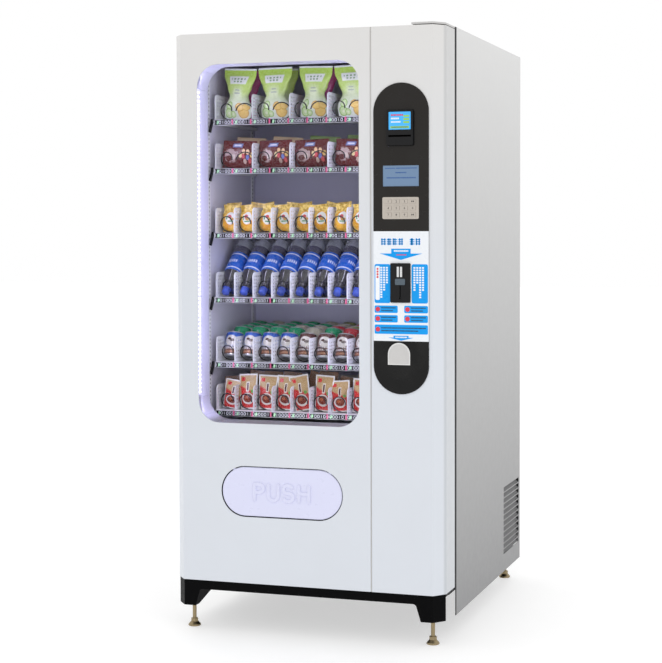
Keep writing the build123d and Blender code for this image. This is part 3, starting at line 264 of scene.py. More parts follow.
def liner(name, colour, depth):
    """Smooth white lining of the food compartment, with painted shade that darkens it where it faces up, and
    faint marks of use.
    """
    g = Graph(name)
    tone = g.mix(g.ramp(g.noise(9.0, 5.0), 0.4, 0.75, 0.0, 0.2), colour, tuple(c * 0.82 for c in colour))
    # Painted shade: surfaces that face up are darkened to grey.
    facing = g.node("ShaderNodeTexCoord").outputs["Normal"]
    tone = g.mix(g.ramp(g.split(facing)[2], 0.75, 0.98), tone, (0.22, 0.22, 0.235))
    return g.finish(tone, g.ramp(g.noise(30.0), 0.3, 0.7, 0.40, 0.5), (g.noise(250.0), depth))


def lcd():
    """Pale blue screen with a fine dot grid."""
    g = Graph("lcd")
    z = g.split(g.point())[2]
    grid = g.math("SINE", g.math("MULTIPLY", z, 2 * math.pi / (1.2 * MM)))
    tone = g.mix(g.ramp(grid, -1, 1, 0.0, 0.12), (0.142, 0.228, 0.360), (0.10, 0.165, 0.28))
    more = {"Emission Color": tone, "Emission Strength": 0.08}
    return g.finish(tone, g.ramp(g.noise(30.0), 0.3, 0.7, 0.12, 0.2), **more)


def fascia():
    """Dark printed sheet, a little warmer in its upper half."""
    g = Graph("black_gloss")
    height = g.ramp(g.split(g.point())[2], 0.95, 1.30)
    tone = g.mix(height, (0.0045, 0.0045, 0.0045), (0.0170, 0.0148, 0.0130))
    worn = g.mix(g.ramp(g.noise(14.0, 4.0), 0.4, 0.7, 0.0, 0.3), tone, (0.022, 0.021, 0.020))
    gloss = g.ramp(g.noise(40.0), 0.3, 0.7, 0.20, 0.28)
    return g.finish(worn, gloss, (g.noise(200.0, 3.0), 0.004), **sheen(0.2))


SLOT_LOOKS = {
    "white_enamel": enamel(),
    "side_enamel": side_enamel(),
    "black_enamel": plain("black_enamel", (0.0025, 0.0025, 0.0028), 0.4, 600.0, 0.04, 0.2, **sheen(0.04)),
    "liner_foam": liner("liner_foam", (0.66, 0.64, 0.74), 0.05),
    "liner_plastic": liner("liner_plastic", (0.62, 0.61, 0.78), 0.02),
    "clear_glass": clear_glass(),
    "seal_rubber": plain("seal_rubber", (0.035, 0.036, 0.038), 0.7, 500.0, 0.05, 0.2),
    "led_cover": led_cover(),
    "black_gloss": fascia(),
    "printed_label": plain("printed_label", (0.83, 0.86, 0.90), 0.3, 200.0, 0.004, 0.02),
    "pad_steel": brushed("pad_steel", (0.57, 0.515, 0.455), 0.42, 0.6),
    "lcd": lcd(),
    "black_plastic": plain("black_plastic", (0.008, 0.008, 0.009), 0.33, 900.0, 0.03, 0.2, **sheen(0.2)),
    "flap_plastic": plain("flap_plastic", (0.70, 0.71, 0.90), 0.32, 200.0, 0.004, 0.006),
    "bin_enamel": plain("bin_enamel", (0.03, 0.03, 0.035), 0.45, 500.0, 0.04, 0.2),
    "satin_steel": brushed("satin_steel", (0.64, 0.63, 0.62), 0.36),
    "yellow_zinc": brushed("yellow_zinc", (0.34, 0.27, 0.16), 0.32),
    "tray_enamel": plain("tray_enamel", (0.80, 0.80, 0.82), 0.4, 500.0, 0.02, 0.03),
    "spiral_wire": plain("spiral_wire", (0.035, 0.033, 0.036), 0.3, 500.0, 0.02, 0.3, Metallic=0.7),
    "motor_plastic": plain("motor_plastic", (0.03, 0.03, 0.033), 0.5, 500.0, 0.03, 0.2),
    "fin_aluminium": brushed("fin_aluminium", (0.70, 0.71, 0.73), 0.4),
    "compressor_enamel": plain("compressor_enamel", (0.010, 0.010, 0.012), 0.3, 400.0, 0.03, 0.2),
    "supply_box": plain("supply_box", (0.28, 0.29, 0.31), 0.5, 400.0, 0.03, 0.06),
}
for row in frame["record"]["subparts"]:
    shown = frame["nodes"][row["node"]]
    shown.data.materials.clear()
    shown.data.materials.append(SLOT_LOOKS[row["material_slot"]])
lever = frame["nodes"]["coin_return_lever"].data.materials
lever[0] = brushed("lever_steel", (0.12, 0.15, 0.18), 0.3)


# Mesh helper.
class Shape:
    """Collects closed solids in millimetres and turns them into one piece."""

    def __init__(self):
        self.points, self.faces, self.marks, self.prints = [], [], [], []

    def add(self, points, faces, mark=0, prints=None):
        start = len(self.points)
        self.points += points
        self.faces += [tuple(start + i for i in face) for face in faces]
        self.marks += mark if isinstance(mark, list) else [mark] * len(faces)
        self.prints += prints or [(0.5, 0.5, 0.5)] * len(points)

    def prism(self, outline, front, back, mark=0):
        """A plate with that outline in X and Z, between two depths."""
        n = len(outline)
        points = [at(x, y, z) for y in (front, back) for x, z in outline]
        faces = [tuple(range(n)), tuple(range(2 * n - 1, n - 1, -1))]
        faces += [(i, n + i, n + (i + 1) % n, (i + 1) % n) for i in range(n)]
        xs, zs = [p[0] for p in outline], [p[1] for p in outline]
        wide, high = max(xs) - min(xs), max(zs) - min(zs)
        flat = [((x - min(xs)) / wide, (z - min(zs)) / high, 0.5) for x, z in outline]
        self.add(points, faces, mark, flat * 2)

    def tube(self, rings, marks, prints):
        """A closed form through rings of points, with a flat end at each side."""
        n = len(rings[0])
        faces, face_marks = [], []
        for r in range(len(rings) - 1):
            for i in range(n):
                a, b = r * n + i, r * n + (i + 1) % n
                faces.append((a, b, b + n, a + n))
                face_marks.append(marks[r])
        faces.append(tuple(range(n))[::-1])
        face_marks.append(marks[0])
        last = (len(rings) - 1) * n
        faces.append(tuple(range(last, last + n)))
        face_marks.append(marks[-1])
        self.add([p for ring in rings for p in ring], faces, face_marks, prints)

    def place(self, name, looks, body, slot=None, smooth=None):
        mesh = bpy.data.meshes.new(name)
        mesh.from_pydata(self.points, [], self.faces)
        for look in looks:
            mesh.materials.append(look)
        mesh.polygons.foreach_set("material_index", self.marks)
        stored = mesh.attributes.new("design", "FLOAT_VECTOR", "POINT")
        stored.data.foreach_set("vector", [c for p in self.prints for c in p])
        tidy = bmesh.new()
        tidy.from_mesh(mesh)
        bmesh.ops.recalc_face_normals(tidy, faces=tidy.faces)
        tidy.to_mesh(mesh)
        tidy.free()
        if smooth:
            mesh.shade_smooth()
            mesh.set_sharp_from_angle(angle=math.radians(smooth))
        piece = bpy.data.objects.new(name, mesh)
        bpy.context.scene.collection.objects.link(piece)
        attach(piece, body)
        return piece


def rounded(x0, x1, z0, z1, radius, steps=4):
    """Outline of a rectangle with round corners."""
    points = []
    for cx, cz, start in (
        (x1 - radius, z1 - radius, 0),
        (x0 + radius, z1 - radius, 90),
        (x0 + radius, z0 + radius, 180),
        (x1 - radius, z0 + radius, 270),
    ):
        for step in range(steps + 1):
            turn = math.radians(start + 90 * step / steps)
            points.append((cx + radius * math.cos(turn), cz + radius * math.sin(turn)))
    return points


def rect(x0, x1, z0, z1):
    """The corners of an upright rectangle."""
    return [(x0, z0), (x1, z0), (x1, z1), (x0, z1)]


def lettering(name, text, size, spot, depth, body, bold=0.0, bevel=0.0):
    """Raised lettering that stands on a front surface; spot is its middle."""
    curve = bpy.data.curves.new(name, "FONT")
    curve.body = text
    curve.size = size * MM
    curve.extrude = depth * MM / 2
    curve.bevel_depth = bevel * MM
    curve.bevel_resolution = 3
    curve.offset = bold * MM
    curve.align_x, curve.align_y = "CENTER", "CENTER"
    curve.resolution_u = 5
    drawn = bpy.data.objects.new(name + "_curve", curve)
    bpy.context.scene.collection.objects.link(drawn)
    bpy.context.view_layer.update()
    ready = drawn.evaluated_get(bpy.context.evaluated_depsgraph_get())
    mesh = bpy.data.meshes.new_from_object(ready)
    bpy.data.objects.remove(drawn)
    low, high = min(v.co.y for v in mesh.vertices), max(v.co.y for v in mesh.vertices)
    mesh.transform(Matrix.Translation((0, -(low + high) / 2, 0)))
    mesh.transform(Matrix.Rotation(math.radians(90), 4, "X"))
    mesh.transform(Matrix.Translation(spot))
    mesh.name = name
    piece = bpy.data.objects.new(name, mesh)
    bpy.context.scene.collection.objects.link(piece)
    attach(piece, body)
    return piece


# Print on the control side.
azure = plain("print_azure", (0.004, 0.33, 0.85), 0.3, 200.0, 0.004, 0.06, **sheen(0.2))
paper = plain("print_white", (0.90, 0.92, 0.94), 0.3, 200.0, 0.004, 0.02)
red = plain("print_red", (0.70, 0.03, 0.06), 0.3, 200.0, 0.004, 0.08)
navy = plain("print_navy", (0.03, 0.10, 0.30), 0.3, 200.0, 0.004, 0.1)
lime = plain("print_lime", (0.30, 0.62, 0.10), 0.3, 200.0, 0.004, 0.08)
ink = plain("print_ink", (0.010, 0.010, 0.012), 0.4, 300.0, 0.004, 0.2)


def dashes(shape, x0, x1, z, height, front, mark, dash=3.2, gap=1.0):
    """A line of short marks that stands for a line of print."""
    x = x0
    while x < x1 - 1:
        wide = min(dash * rng.uniform(0.7, 1.15), x1 - x)
        shape.prism(rect(x, x + wide, z, z + height), front - 0.12, front, mark)
        x += wide + gap


def printed_panel():
    front = front_of("instruction_panel")
    film = Shape()
    up = front - 0.12
    # Title: six blocks built from small strokes.
    for i in range(7):
        if i == 4:
            continue
        left = 256 + i * 18.6
        for k in range(3):
            z = 1259 + k * 6.6
            film.prism(rect(left, left + 15.5, z, z + 3.4), up, front, 0)
        for x in (left + 1.2 + 2 * (i % 2), left + 10.5 - 2 * (i % 3)):
            film.prism(rect(x, x + 3.6, 1257, 1278.5), up, front, 0)
    # Arrow that points down to the coin inlet.
    film.prism(
        [(289, 1246), (352, 1246), (352, 1231), (390, 1231), (320.5, 1211), (251, 1231), (289, 1231)],
        up, front, 0,
    )
    dashes(film, 298, 344, 1236.5, 5, up, 1)
    dashes(film, 306, 338, 1225, 3.6, up, 2)
    # Columns of small print beside the coin plate.
    for left, right in ((234.5, 286), (355, 407.5)):
        film.prism(rounded(left, right, 1076, 1198, 6), up, front, 0)
        start = left + 19 if left < 300 else left + 6
        for column in range(int((right - 4 - start) / 9.0)):
            x = start + column * 9.2
            z = 1190 - 6
            low = 1092 + 22 * ((column + (left > 300)) % 3)
            while z > low:
                film.prism(rect(x, x + 6.2, z, z + 5.0), up - 0.12, up, 1)
                z -= 7.6
    film.prism(rounded(237.5, 251.5, 1086, 1192, 4), up - 0.12, up, 1)
    for k in range(4):
        film.prism(rounded(241.5, 247.5, 1180 - k * 8.5, 1186 - k * 8.5, 1), up - 0.24, up - 0.12, 2)
    # Numbered steps.
    for left, right, low, high in (
        (234.5, 310, 1045.6, 1068.7),
        (331, 407.5, 1045.6, 1068.7),
        (234.5, 310, 1016, 1039),
        (331, 407.5, 1016, 1039),
        (234.5, 407.5, 980, 1009),
    ):
        film.prism(rounded(left, right, low, high, 4), up, front, 0)
        middle = (low + high) / 2
        film.prism(rounded(left + 3, left + 18, middle - 7.5, middle + 7.5, 7.4, 5), up - 0.12, up, 2)
        for k, z in enumerate((middle + 2.6, middle - 6.2)):
            end = right - 6 - (24 if right - left > 100 else 10) * k
            dashes(film, left + 22, end, z, 3.6, up, 3)
    # Small arrow that points down to the coin cup.
    film.prism(
        [(296, 975), (345, 975), (345, 969), (362, 969), (320.5, 959.5), (279, 969), (296, 969)], up, front, 0
    )
    dashes(film, 302, 340, 968, 4, up, 1)
    film.place("instruction_print", [azure, paper, red, ink], "door", "printed_label")


printed_panel()


def validator_label():
    front = front_of("bill_validator") + 1.5  # floor of the sunk window
    label = Shape()
    label.prism(rounded(283.5, 354.5, 1614.5, 1669.5, 2), front - 0.3, front, 0)
    up = front - 0.3
    dashes(label, 291, 330, 1657, 5, up, 1, 4.5)
    dashes(label, 291, 318, 1646.5, 5, up, 2, 3.5)
    dashes(label, 291, 322, 1636, 4.5, up, 2, 3.0)
    for k in range(3):
        label.prism(rounded(331, 350, 1653 - k * 9.5, 1659 - k * 9.5, 1), up - 0.12, up, 3)
    label.prism(rounded(289, 349, 1618.5, 1625.5, 1), up - 0.12, up, 3)
    dashes(label, 293, 345, 1620.5, 3, up - 0.12, 4, 3.0)
    screen = plain("label_blue", (0.05, 0.40, 0.85), 0.2, 200.0, 0.004, 0.08,
                   **{"Emission Color": (0.05, 0.40, 0.85, 1), "Emission Strength": 0.2})
    label.place("validator_label", [screen, red, paper, lime, navy], "door", "lcd")


validator_label()


def screen_rows():
    front = front_of("display")
    rows = Shape()
    dashes(rows, 269, 302, 1494, 3.4, front, 0, 2.4, 0.8)
    dashes(rows, 305, 372, 1494, 3.4, front, 0, 2.4, 0.8)
    dashes(rows, 302, 338, 1480, 4, front, 0, 3.0, 0.9)
    dashes(rows, 274, 368, 1464, 4, front, 0, 3.0, 0.9)
    rows.place("screen_rows", [navy], "door", "lcd")


screen_rows()


def key_legends():
    engraved = plain("key_ink", (0.05, 0.045, 0.04), 0.5, 300.0, 0.004, 0.2)
    legends = [["1", "2", "3", ""], ["4", "5", "6", "0"], ["7", "8", "9", ""]]
    for r, row_of_keys in enumerate(legends, 1):
        for c, text in enumerate(row_of_keys, 1):
            name = f"key_{r}_{c}"
            low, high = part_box(name)
            middle = Vector(((low.x + high.x) / 2, low.y - 0.05 * MM, (low.z + high.z) / 2))
            if text:
                mark = lettering(f"legend_{r}_{c}", text, 9.5, middle, 0.2, name, 0.12)
                mark.data.materials.append(engraved)
                continue
            x, z, y = middle.x / MM, middle.z / MM, front_of(name)
            bars = Shape()
            for shift in (-4.2, 0.8):
                bars.prism(rounded(x + shift, x + shift + 3.4, z - 2.4, z + 2.4, 0.5), y - 0.15, y, 0)
            bars.place(f"legend_{r}_{c}", [engraved], name, "pad_steel")


key_legends()


def arc(cx, cz, radius_x, radius_z, start, stop, steps=10):
    """Points along part of an ellipse, in degrees from +X towards +Z."""
    turns = [math.radians(start + (stop - start) * i / steps) for i in range(steps + 1)]
    return [(cx + radius_x * math.cos(t), cz + radius_z * math.sin(t)) for t in turns]


def ridge(shape, path, front, half, rise):
    """A rounded bead along a path on a front surface."""
    rings = []
    path = [path[0]] + path + [path[-1]]
    last = len(path) - 1
    for i, (x, z) in enumerate(path):
        ahead, behind = path[min(max(i + 1, 2), last)], path[max(min(i - 1, last - 2), 0)]
        dx, dz = ahead[0] - behind[0], ahead[1] - behind[1]
        size = math.hypot(dx, dz)
        dx, dz = dx / size, dz / size
        end = i in (0, last)
        reach = (half if i else -half) if end else 0.0
        share = 0.12 if end else 1.0
        x, z = x + dx * reach, z + dz * reach
        ring = []
        for step in range(9):
            turn = math.pi * step / 8
            off = half * share * math.cos(turn)
            ring.append(at(x - dz * off, front - rise * share * math.sin(turn) ** 0.8, z + dx * off))
        off = half * share * 0.9
        ring += [at(x + dz * off, front + 0.8, z - dx * off), at(x - dz * off, front + 0.8, z + dx * off)]
        rings.append(ring)
    shape.tube(rings, [0] * (len(rings) - 1), None)


def flap_lettering():
    """The word PUSH as soft raised strokes."""
    low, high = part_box("delivery_flap")
    middle, level = (low.x + high.x) / 2 / MM, (low.z + high.z) / 2 / MM
    front = front_of("delivery_flap")
    word = Shape()
    strokes = [
        [(-116, -30), (-116, 30)],
        [(-116, 30), (-98, 30)] + arc(-98, 14.5, 21, 15.5, 90, -90)[1:] + [(-116, -1)],
        [(-56, 30), (-56, -8)] + arc(-35, -8, 21, 22, 180, 360)[1:] + [(-14, 30)],
        arc(28, 14, 20, 16, 25, 180, 9)
        + arc(28, 14, 20, 14, 190, 262, 4)
        + arc(29, -14.5, 21, 15.5, 80, -155, 14),
        [(74, -30), (74, 30)],
        [(116, -30), (116, 30)],
        [(74, 1), (116, 1)],
    ]
    for path in strokes:
        ridge(word, [(middle + x * 0.80, level + z * 0.86) for x, z in path], front, 6.6, 4.6)
    word.place("flap_lettering", [SLOT_LOOKS["flap_plastic"]], "delivery_flap", "flap_plastic", smooth=60)


flap_lettering()


# Coin flap rim, seam bead, rail hole shade, coin inlet trim and louvre cheek.
def coin_flap_rim():
    rim = Shape()
    middle, radius, foot, spring, front = 313.7, 36.05, 883.6, 952.6 - 36.05, -2.5
    outer = [(middle - radius, foot)] + arc(middle, spring, radius, radius, 180, 0, 18)
    outer += [(middle + radius, foot)]
    inner = [(middle + (x - middle) * 0.90, spring + (z - spring) * 0.90) for x, z in outer]
    inner[0] = (inner[0][0], foot + 3)
    inner[-1] = (inner[-1][0], foot + 3)
    for i in range(-1, len(outer) - 1):
        rim.prism([outer[i], outer[i + 1], inner[i + 1], inner[i]], front - 0.7, front, 0)
    light = brushed("rim_steel", (0.80, 0.80, 0.79), 0.3)
    rim.place("coin_flap_rim", [light], "coin_return_flap", "satin_steel")


coin_flap_rim()


def seam_bead():
    """Pale sealant in the groove between the two sides of the door."""
    low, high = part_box("control_skin")
    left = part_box("door_skin")[1].x / MM + 0.1
    bead = Shape()
    bead.prism(rect(left, low.x / MM - 0.1, low.z / MM, high.z / MM), 0.9, 2.2, 0)
    sealant = plain("sealant", (0.64, 0.625, 0.60), 0.6, 300.0, 0.1, 0.06)
    bead.place("seam_bead", [sealant], "door", "seal_rubber")


seam_bead()


def rail_hole_shade():
    """Painted shade: a dark strip behind the holes of each tray rail."""
    low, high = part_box("tray_rails")
    dark = plain("rail_shadow", (0.02, 0.02, 0.022), 0.7, 300.0, 0.02, 0.2)
    strip = Shape()
    for y in (204, 597):
        for x0, x1 in ((low.x / MM + 2.2, low.x / MM + 2.8), (high.x / MM - 2.8, high.x / MM - 2.2)):
            strip.prism(rect(x0, x1, low.z / MM + 2, high.z / MM - 2), y - 8, y + 8, 0)
    strip.place("rail_hole_shade", [dark], "cabinet", "seal_rubber")


rail_hole_shade()


def coin_inlet_trim():
    """Bright cheeks beside the coin slot."""
    front = front_of("coin_plate")
    trim = Shape()
    for x0, x1 in ((309.4, 316.3), (319.7, 326.6)):
        trim.prism(rounded(x0, x1, 1158, 1190, 1.2, 3), front - 0.9, front + 0.6, 0)
        middle = (x0 + x1) / 2
        trim.prism(rect(middle - 1, middle + 1, 1161, 1187), front - 1.5, front - 0.9, 0)
    trim.place("coin_inlet_trim", [brushed("inlet_steel", (0.78, 0.79, 0.80), 0.25)], "door", "satin_steel")


coin_inlet_trim()


def louvre_cheek():
    """Return edge of the side panel behind the ends of the louvre blades."""
    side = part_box("right_side_panel")[1].x / MM
    cheek = Shape()
    cheek.prism(rect(side - 31, side - 2.6, 131, 381), 1098.6, 1100.2, 0)
    shade = plain("louvre_shade", (0.05, 0.051, 0.054), 0.6, 300.0, 0.02, 0.1)
    cheek.place("louvre_cheek", [shade], "cabinet", "side_enamel")


louvre_cheek()


# Lanes, price strips and tags.
COIL_LIFT = 29.5
LIVE = ["spiral_1a", "spiral_2a", "spiral_3", "spiral_4", "spiral_5", "spiral_6"]
spots = {name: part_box(name) for name in LIVE + ["spiral_1b"]}
FLOORS = [(spots[n][0].z + spots[n][1].z) / 2 / MM - COIL_LIFT for n in LIVE]
last_lane = (spots["spiral_1b"][0].x + spots["spiral_1b"][1].x) / 2 / MM
PITCH_X = last_lane - (spots["spiral_1a"][0].x + spots["spiral_1a"][1].x) / 2 / MM
LANES = [last_lane - PITCH_X * (7 - lane) for lane in range(8)]
LANE_LEFT = LANES[0] - PITCH_X / 2
LIP_Y = front_of("product_trays")


def price_look():
    """Rows of generic price figures: white marks on black tickets."""
    g = Graph("price_figures")
    x = g.split(g.point())[0]
    cell = g.math("DIVIDE", x, 10.5 * MM)
    across = g.math("FRACT", cell)
    seed = g.node("ShaderNodeTexWhiteNoise", {0: g.join(g.math("FLOOR", cell), 0.0, 1.0)})
    v = g.design()[1]
    outside = g.disc(across, v, (0.5, 0.5), (0.38, 0.36), 0.15)
    ring = g.math("SUBTRACT", outside, g.disc(across, v, (0.5, 0.5), (0.25, 0.26), 0.2))
    stroke = g.bar(across, v, (0.44, 0.56), (0.18, 0.82), 0.04)
    figure = g.mix(g.math("GREATER_THAN", seed.outputs[0], 0.35), stroke, ring)
    tone = g.mix(figure, (0.004, 0.004, 0.005), (0.72, 0.72, 0.76))
    return g.finish(tone, g.ramp(g.noise(60.0), 0.3, 0.7, 0.4, 0.5), **sheen(0.1))


def price_strips():
    figures = price_look()
    pink = plain("tag_pink", (0.60, 0.075, 0.20), 0.4, 300.0, 0.01, 0.08)
    green = plain("tag_green", (0.34, 0.62, 0.36), 0.4, 300.0, 0.01, 0.08)
    holder = plain("strip_holder", (0.74, 0.74, 0.78), 0.25, 300.0, 0.01, 0.04)
    for tray, floor in enumerate(FLOORS, 1):
        strip = Shape()
        left, right = LANE_LEFT + 1, LANE_LEFT + 8 * PITCH_X - 1
        strip.prism(rounded(left, right, floor - 17.6, floor - 0.4, 0.5, 2), LIP_Y - 0.5, LIP_Y, 0)
        strip.prism(rect(left, right, floor - 17.0, floor - 0.9), LIP_Y - 0.9, LIP_Y - 0.5, 1)
        for lane in range(8):
            edge = LANE_LEFT + lane * PITCH_X
            if lane:
                tag = rounded(edge - 3, edge + 1.8, floor - 17, floor + 0.5, 0.6, 2)
                strip.prism(tag, LIP_Y - 1.3, LIP_Y - 0.9, 2)
            leaf = [(9, -12), (11, -15.5), (15, -14), (17.5, -8), (16.5, -3.5), (13, -2.2), (10.5, -6)]
            strip.prism([(edge + x, floor + z) for x, z in leaf], LIP_Y - 1.3, LIP_Y - 0.9, 3)
        strip.place(f"price_strip_{tray}", [holder, figures, pink, green], "cabinet", "tray_enamel")


price_strips()


# Goods: forms.
def curve_through(knots, t):
    """Smooth value at t through (place, value) knots."""
    for (a, low), (b, high) in zip(knots, knots[1:]):
        if t <= b:
            s = (t - a) / (b - a)
            s = s * s * (3 - 2 * s) * 0.6 + s * 0.4
            return low + (high - low) * s
    return knots[-1][1]


def pack(shape, middle, size, sides, knots, seed, lean=0.0, turn=0.0, roll=0.0, crease=1.0):
    """A filled film pack with crimped ends; sides and knots give width and depth up it, as shares."""
    width, height, depth = size
    rows, around = 22, 28
    rings, prints = [], []
    tilt = Matrix.Rotation(math.radians(turn), 3, "Z") @ Matrix.Rotation(math.radians(-lean), 3, "X")
    tilt = tilt @ Matrix.Rotation(math.radians(roll), 3, "Y")
    for r in range(rows + 1):
        v = r / rows
        half = width / 2 * curve_through(sides, v)
        thick = depth / 2 * curve_through(knots, v)
        ring = []
        for i in range(around):
            a = 2 * math.pi * i / around
            c, s = math.cos(a), math.sin(a)
            x = half * math.copysign(abs(c) ** 0.8, c)
            y = thick * math.copysign(abs(s) ** 1.25, s)
            z = v * height
            fold = noise.noise(Vector((x * 0.045 + seed * 7.1, z * 0.045, s * 0.6 + seed)))
            fine = noise.noise(Vector((x * 0.16 - seed * 3.3, z * 0.11, seed + s)))
            near_end = max(0.0, 1 - 4.5 * min(v, 1 - v))
            gather = math.sin(x * 0.85 + seed) * near_end
            body = min(1.0, thick / (0.25 * depth + 0.01))
            y += (fold * 4.2 + fine * 2.2) * crease * body * abs(s) + gather * 0.7 * crease * abs(s) * body
            x += fine * 1.3 * crease * body
            z += fold * 1.6 * crease * body
            if r in (0, rows):
                z += 0.8 * (i % 2)
            ring.append(at(*(middle + tilt @ Vector((x, y, z)))))
            prints.append((0.5 + 0.5 * c * abs(c) ** -0.2 if abs(c) > 1e-6 else 0.5, v, (seed * 0.137) % 1))
        rings.append(ring)
    shape.tube(rings, [0] * rows, prints)


def turned(shape, middle, profile, lean, seed, around=28, lobes=None, roll=0.0):
    """A round form about an axis that leans back; profile rows are (along, radius, mark)."""
    spin = Matrix.Rotation(math.radians(seed * 77 % 360), 3, "Z")
    tilt = Matrix.Rotation(math.radians(-lean), 3, "X") @ spin
    tilt = Matrix.Rotation(math.radians(roll), 3, "Y") @ tilt
    length = profile[-1][0]
    rings, prints = [], []
    for along, radius, _ in profile:
        ring = []
        for i in range(around):
            a = 2 * math.pi * i / around
            r = radius
            if lobes and along > lobes:
                r *= 1 + 0.10 * math.cos(5 * a) * min(1, (along - lobes) / 14)
            ring.append(at(*(middle + tilt @ Vector((r * math.cos(a), r * math.sin(a), along)))))
            prints.append((i / around, along / length, (seed * 0.137) % 1))
        rings.append(ring)
    shape.tube(rings, [row[2] for row in profile[:-1]], prints)


# Goods: prints.
def film_shine(g, colour, rough=0.28, depth=0.5, **more):
    folds = g.noise(140.0, 4.0)
    return g.finish(colour, g.ramp(folds, 0.3, 0.7, rough - 0.06, rough + 0.1), (folds, depth), **more)


def crisp_look():
    """Pale base, green middle, a plain pale panel with dark marks, and rounds low down."""
    g = Graph("pack_crisps")
    u, v, w = g.design()
    tone = g.mix(g.ramp(v, 0.20, 0.62), (0.74, 0.78, 0.66), (0.50, 0.66, 0.16))
    tone = g.mix(g.ramp(v, 0.62, 0.98), tone, (0.42, 0.62, 0.08))
    tone = g.mix(g.bar(u, v, (0.30, 0.70), (0.38, 0.60), 0.12), tone, (0.70, 0.76, 0.52))
    for middle, size in (((0.24, 0.27), 0.13), ((0.20, 0.12), 0.15), ((0.36, 0.10), 0.10)):
        tone = g.mix(g.disc(u, v, middle, (size, size * 0.62)), tone, (0.28, 0.50, 0.10))
        tone = g.mix(g.disc(u, v, middle, (size * 0.82, size * 0.5)), tone, (0.62, 0.76, 0.40))
        tone = g.mix(g.disc(u, v, middle, (size * 0.3, size * 0.18)), tone, (0.80, 0.86, 0.62))
    for middle, size in (((0.74, 0.13), 0.19), ((0.62, 0.24), 0.15), ((0.84, 0.24), 0.12)):
        tone = g.mix(g.disc(u, v, middle, (size, size * 0.55)), tone, (0.62, 0.34, 0.06))
        tone = g.mix(g.disc(u, v, middle, (size * 0.88, size * 0.46)), tone, (0.84, 0.58, 0.18))
    tone = g.mix(g.bar(u, v, (0.20, 0.80), (0.69, 0.85)), tone, (0.80, 0.82, 0.74))
    cell = g.math("FRACT", g.math("MULTIPLY", u, 9.0))
    gaps = g.bar(cell, v, (0.2, 0.75), (-1.0, 2.0), 0.08)
    for low, wide in ((0.78, 0.22), (0.725, 0.15)):
        line = g.math("MULTIPLY", g.bar(u, v, (0.5 - wide, 0.5 + wide), (low, low + 0.03)), gaps)
        tone = g.mix(line, tone, (0.16, 0.30, 0.10))
    for low, wide in ((0.56, 0.10), (0.50, 0.14)):
        tone = g.mix(g.bar(u, v, (0.5 - wide, 0.5 + wide), (low, low + 0.022)), tone, (0.36, 0.42, 0.34))
    crimp = g.ramp(g.math("ABSOLUTE", g.math("SUBTRACT", v, 0.5)), 0.465, 0.475)
    tone = g.mix(crimp, tone, (0.72, 0.75, 0.74))
    return film_shine(g, tone, 0.27, 0.8)


def brown_look():
    """Dark brown film with a milk splash, a cup and a group of small coloured ovals."""
    g = Graph("pack_brown")
    u, v, w = g.design()
    tone = g.mix(g.noise(30.0, 3.0), (0.085, 0.014, 0.014), (0.170, 0.034, 0.030))
    splash = g.math("ADD", u, g.ramp(g.noise(70.0, 3.0), 0.3, 0.7, -0.08, 0.08))
    tone = g.mix(g.disc(splash, v, (0.28, 0.44), (0.17, 0.24), 0.3), tone, (0.46, 0.34, 0.33))
    tone = g.mix(g.disc(u, v, (0.24, 0.34), (0.10, 0.10)), tone, (0.13, 0.035, 0.03))
    tone = g.mix(g.disc(u, v, (0.38, 0.40), (0.06, 0.09)), tone, (0.60, 0.50, 0.46))
    for x, z, colour in (
        (0.66, 0.60, (0.78, 0.50, 0.30)), (0.66, 0.42, (0.55, 0.08, 0.10)), (0.78, 0.58, (0.80, 0.54, 0.34)),
        (0.78, 0.38, (0.16, 0.20, 0.52)), (0.88, 0.48, (0.76, 0.48, 0.16)), (0.58, 0.46, (0.70, 0.56, 0.30)),
        (0.70, 0.24, (0.50, 0.36, 0.30)), (0.84, 0.26, (0.60, 0.10, 0.10)),
    ):
        tone = g.mix(g.disc(u, v, (x, z), (0.045, 0.095)), tone, colour)
    tone = g.mix(g.bar(u, v, (0.34, 0.62), (0.74, 0.89), 0.02), tone, (0.18, 0.24, 0.50))
    tone = g.mix(g.bar(u, v, (0.38, 0.58), (0.78, 0.85)), tone, (0.70, 0.70, 0.78))
    return film_shine(g, tone, 0.25, 0.8)


def bun_look():
    g = Graph("pack_bun")
    u, v, w = g.design()
    crumb = g.mix(g.ramp(g.noise(45.0, 4.0), 0.35, 0.65), (0.70, 0.30, 0.02), (0.84, 0.46, 0.05))
    film = g.mix(g.ramp(g.noise(120.0, 4.0), 0.35, 0.65), (0.42, 0.25, 0.03), (0.80, 0.58, 0.16))
    tone = g.mix(g.disc(u, v, (0.5, 0.40), (0.42, 0.36), 0.3), film, crumb)
    tone = g.mix(g.disc(u, v, (0.55, 0.50), (0.30, 0.23)), tone, (0.74, 0.73, 0.68))
    tone = g.mix(g.disc(u, v, (0.50, 0.56), (0.12, 0.07)), tone, (0.60, 0.10, 0.10))
    tone = g.mix(g.disc(u, v, (0.62, 0.47), (0.13, 0.06)), tone, (0.55, 0.30, 0.08))
    tone = g.mix(g.bar(u, v, (0.40, 0.74), (0.36, 0.40)), tone, (0.04, 0.26, 0.08))
    tone = g.mix(g.bar(u, v, (0.30, 0.36), (0.44, 0.60)), tone, (0.04, 0.30, 0.10))
    return film_shine(g, tone, 0.2, 0.9)


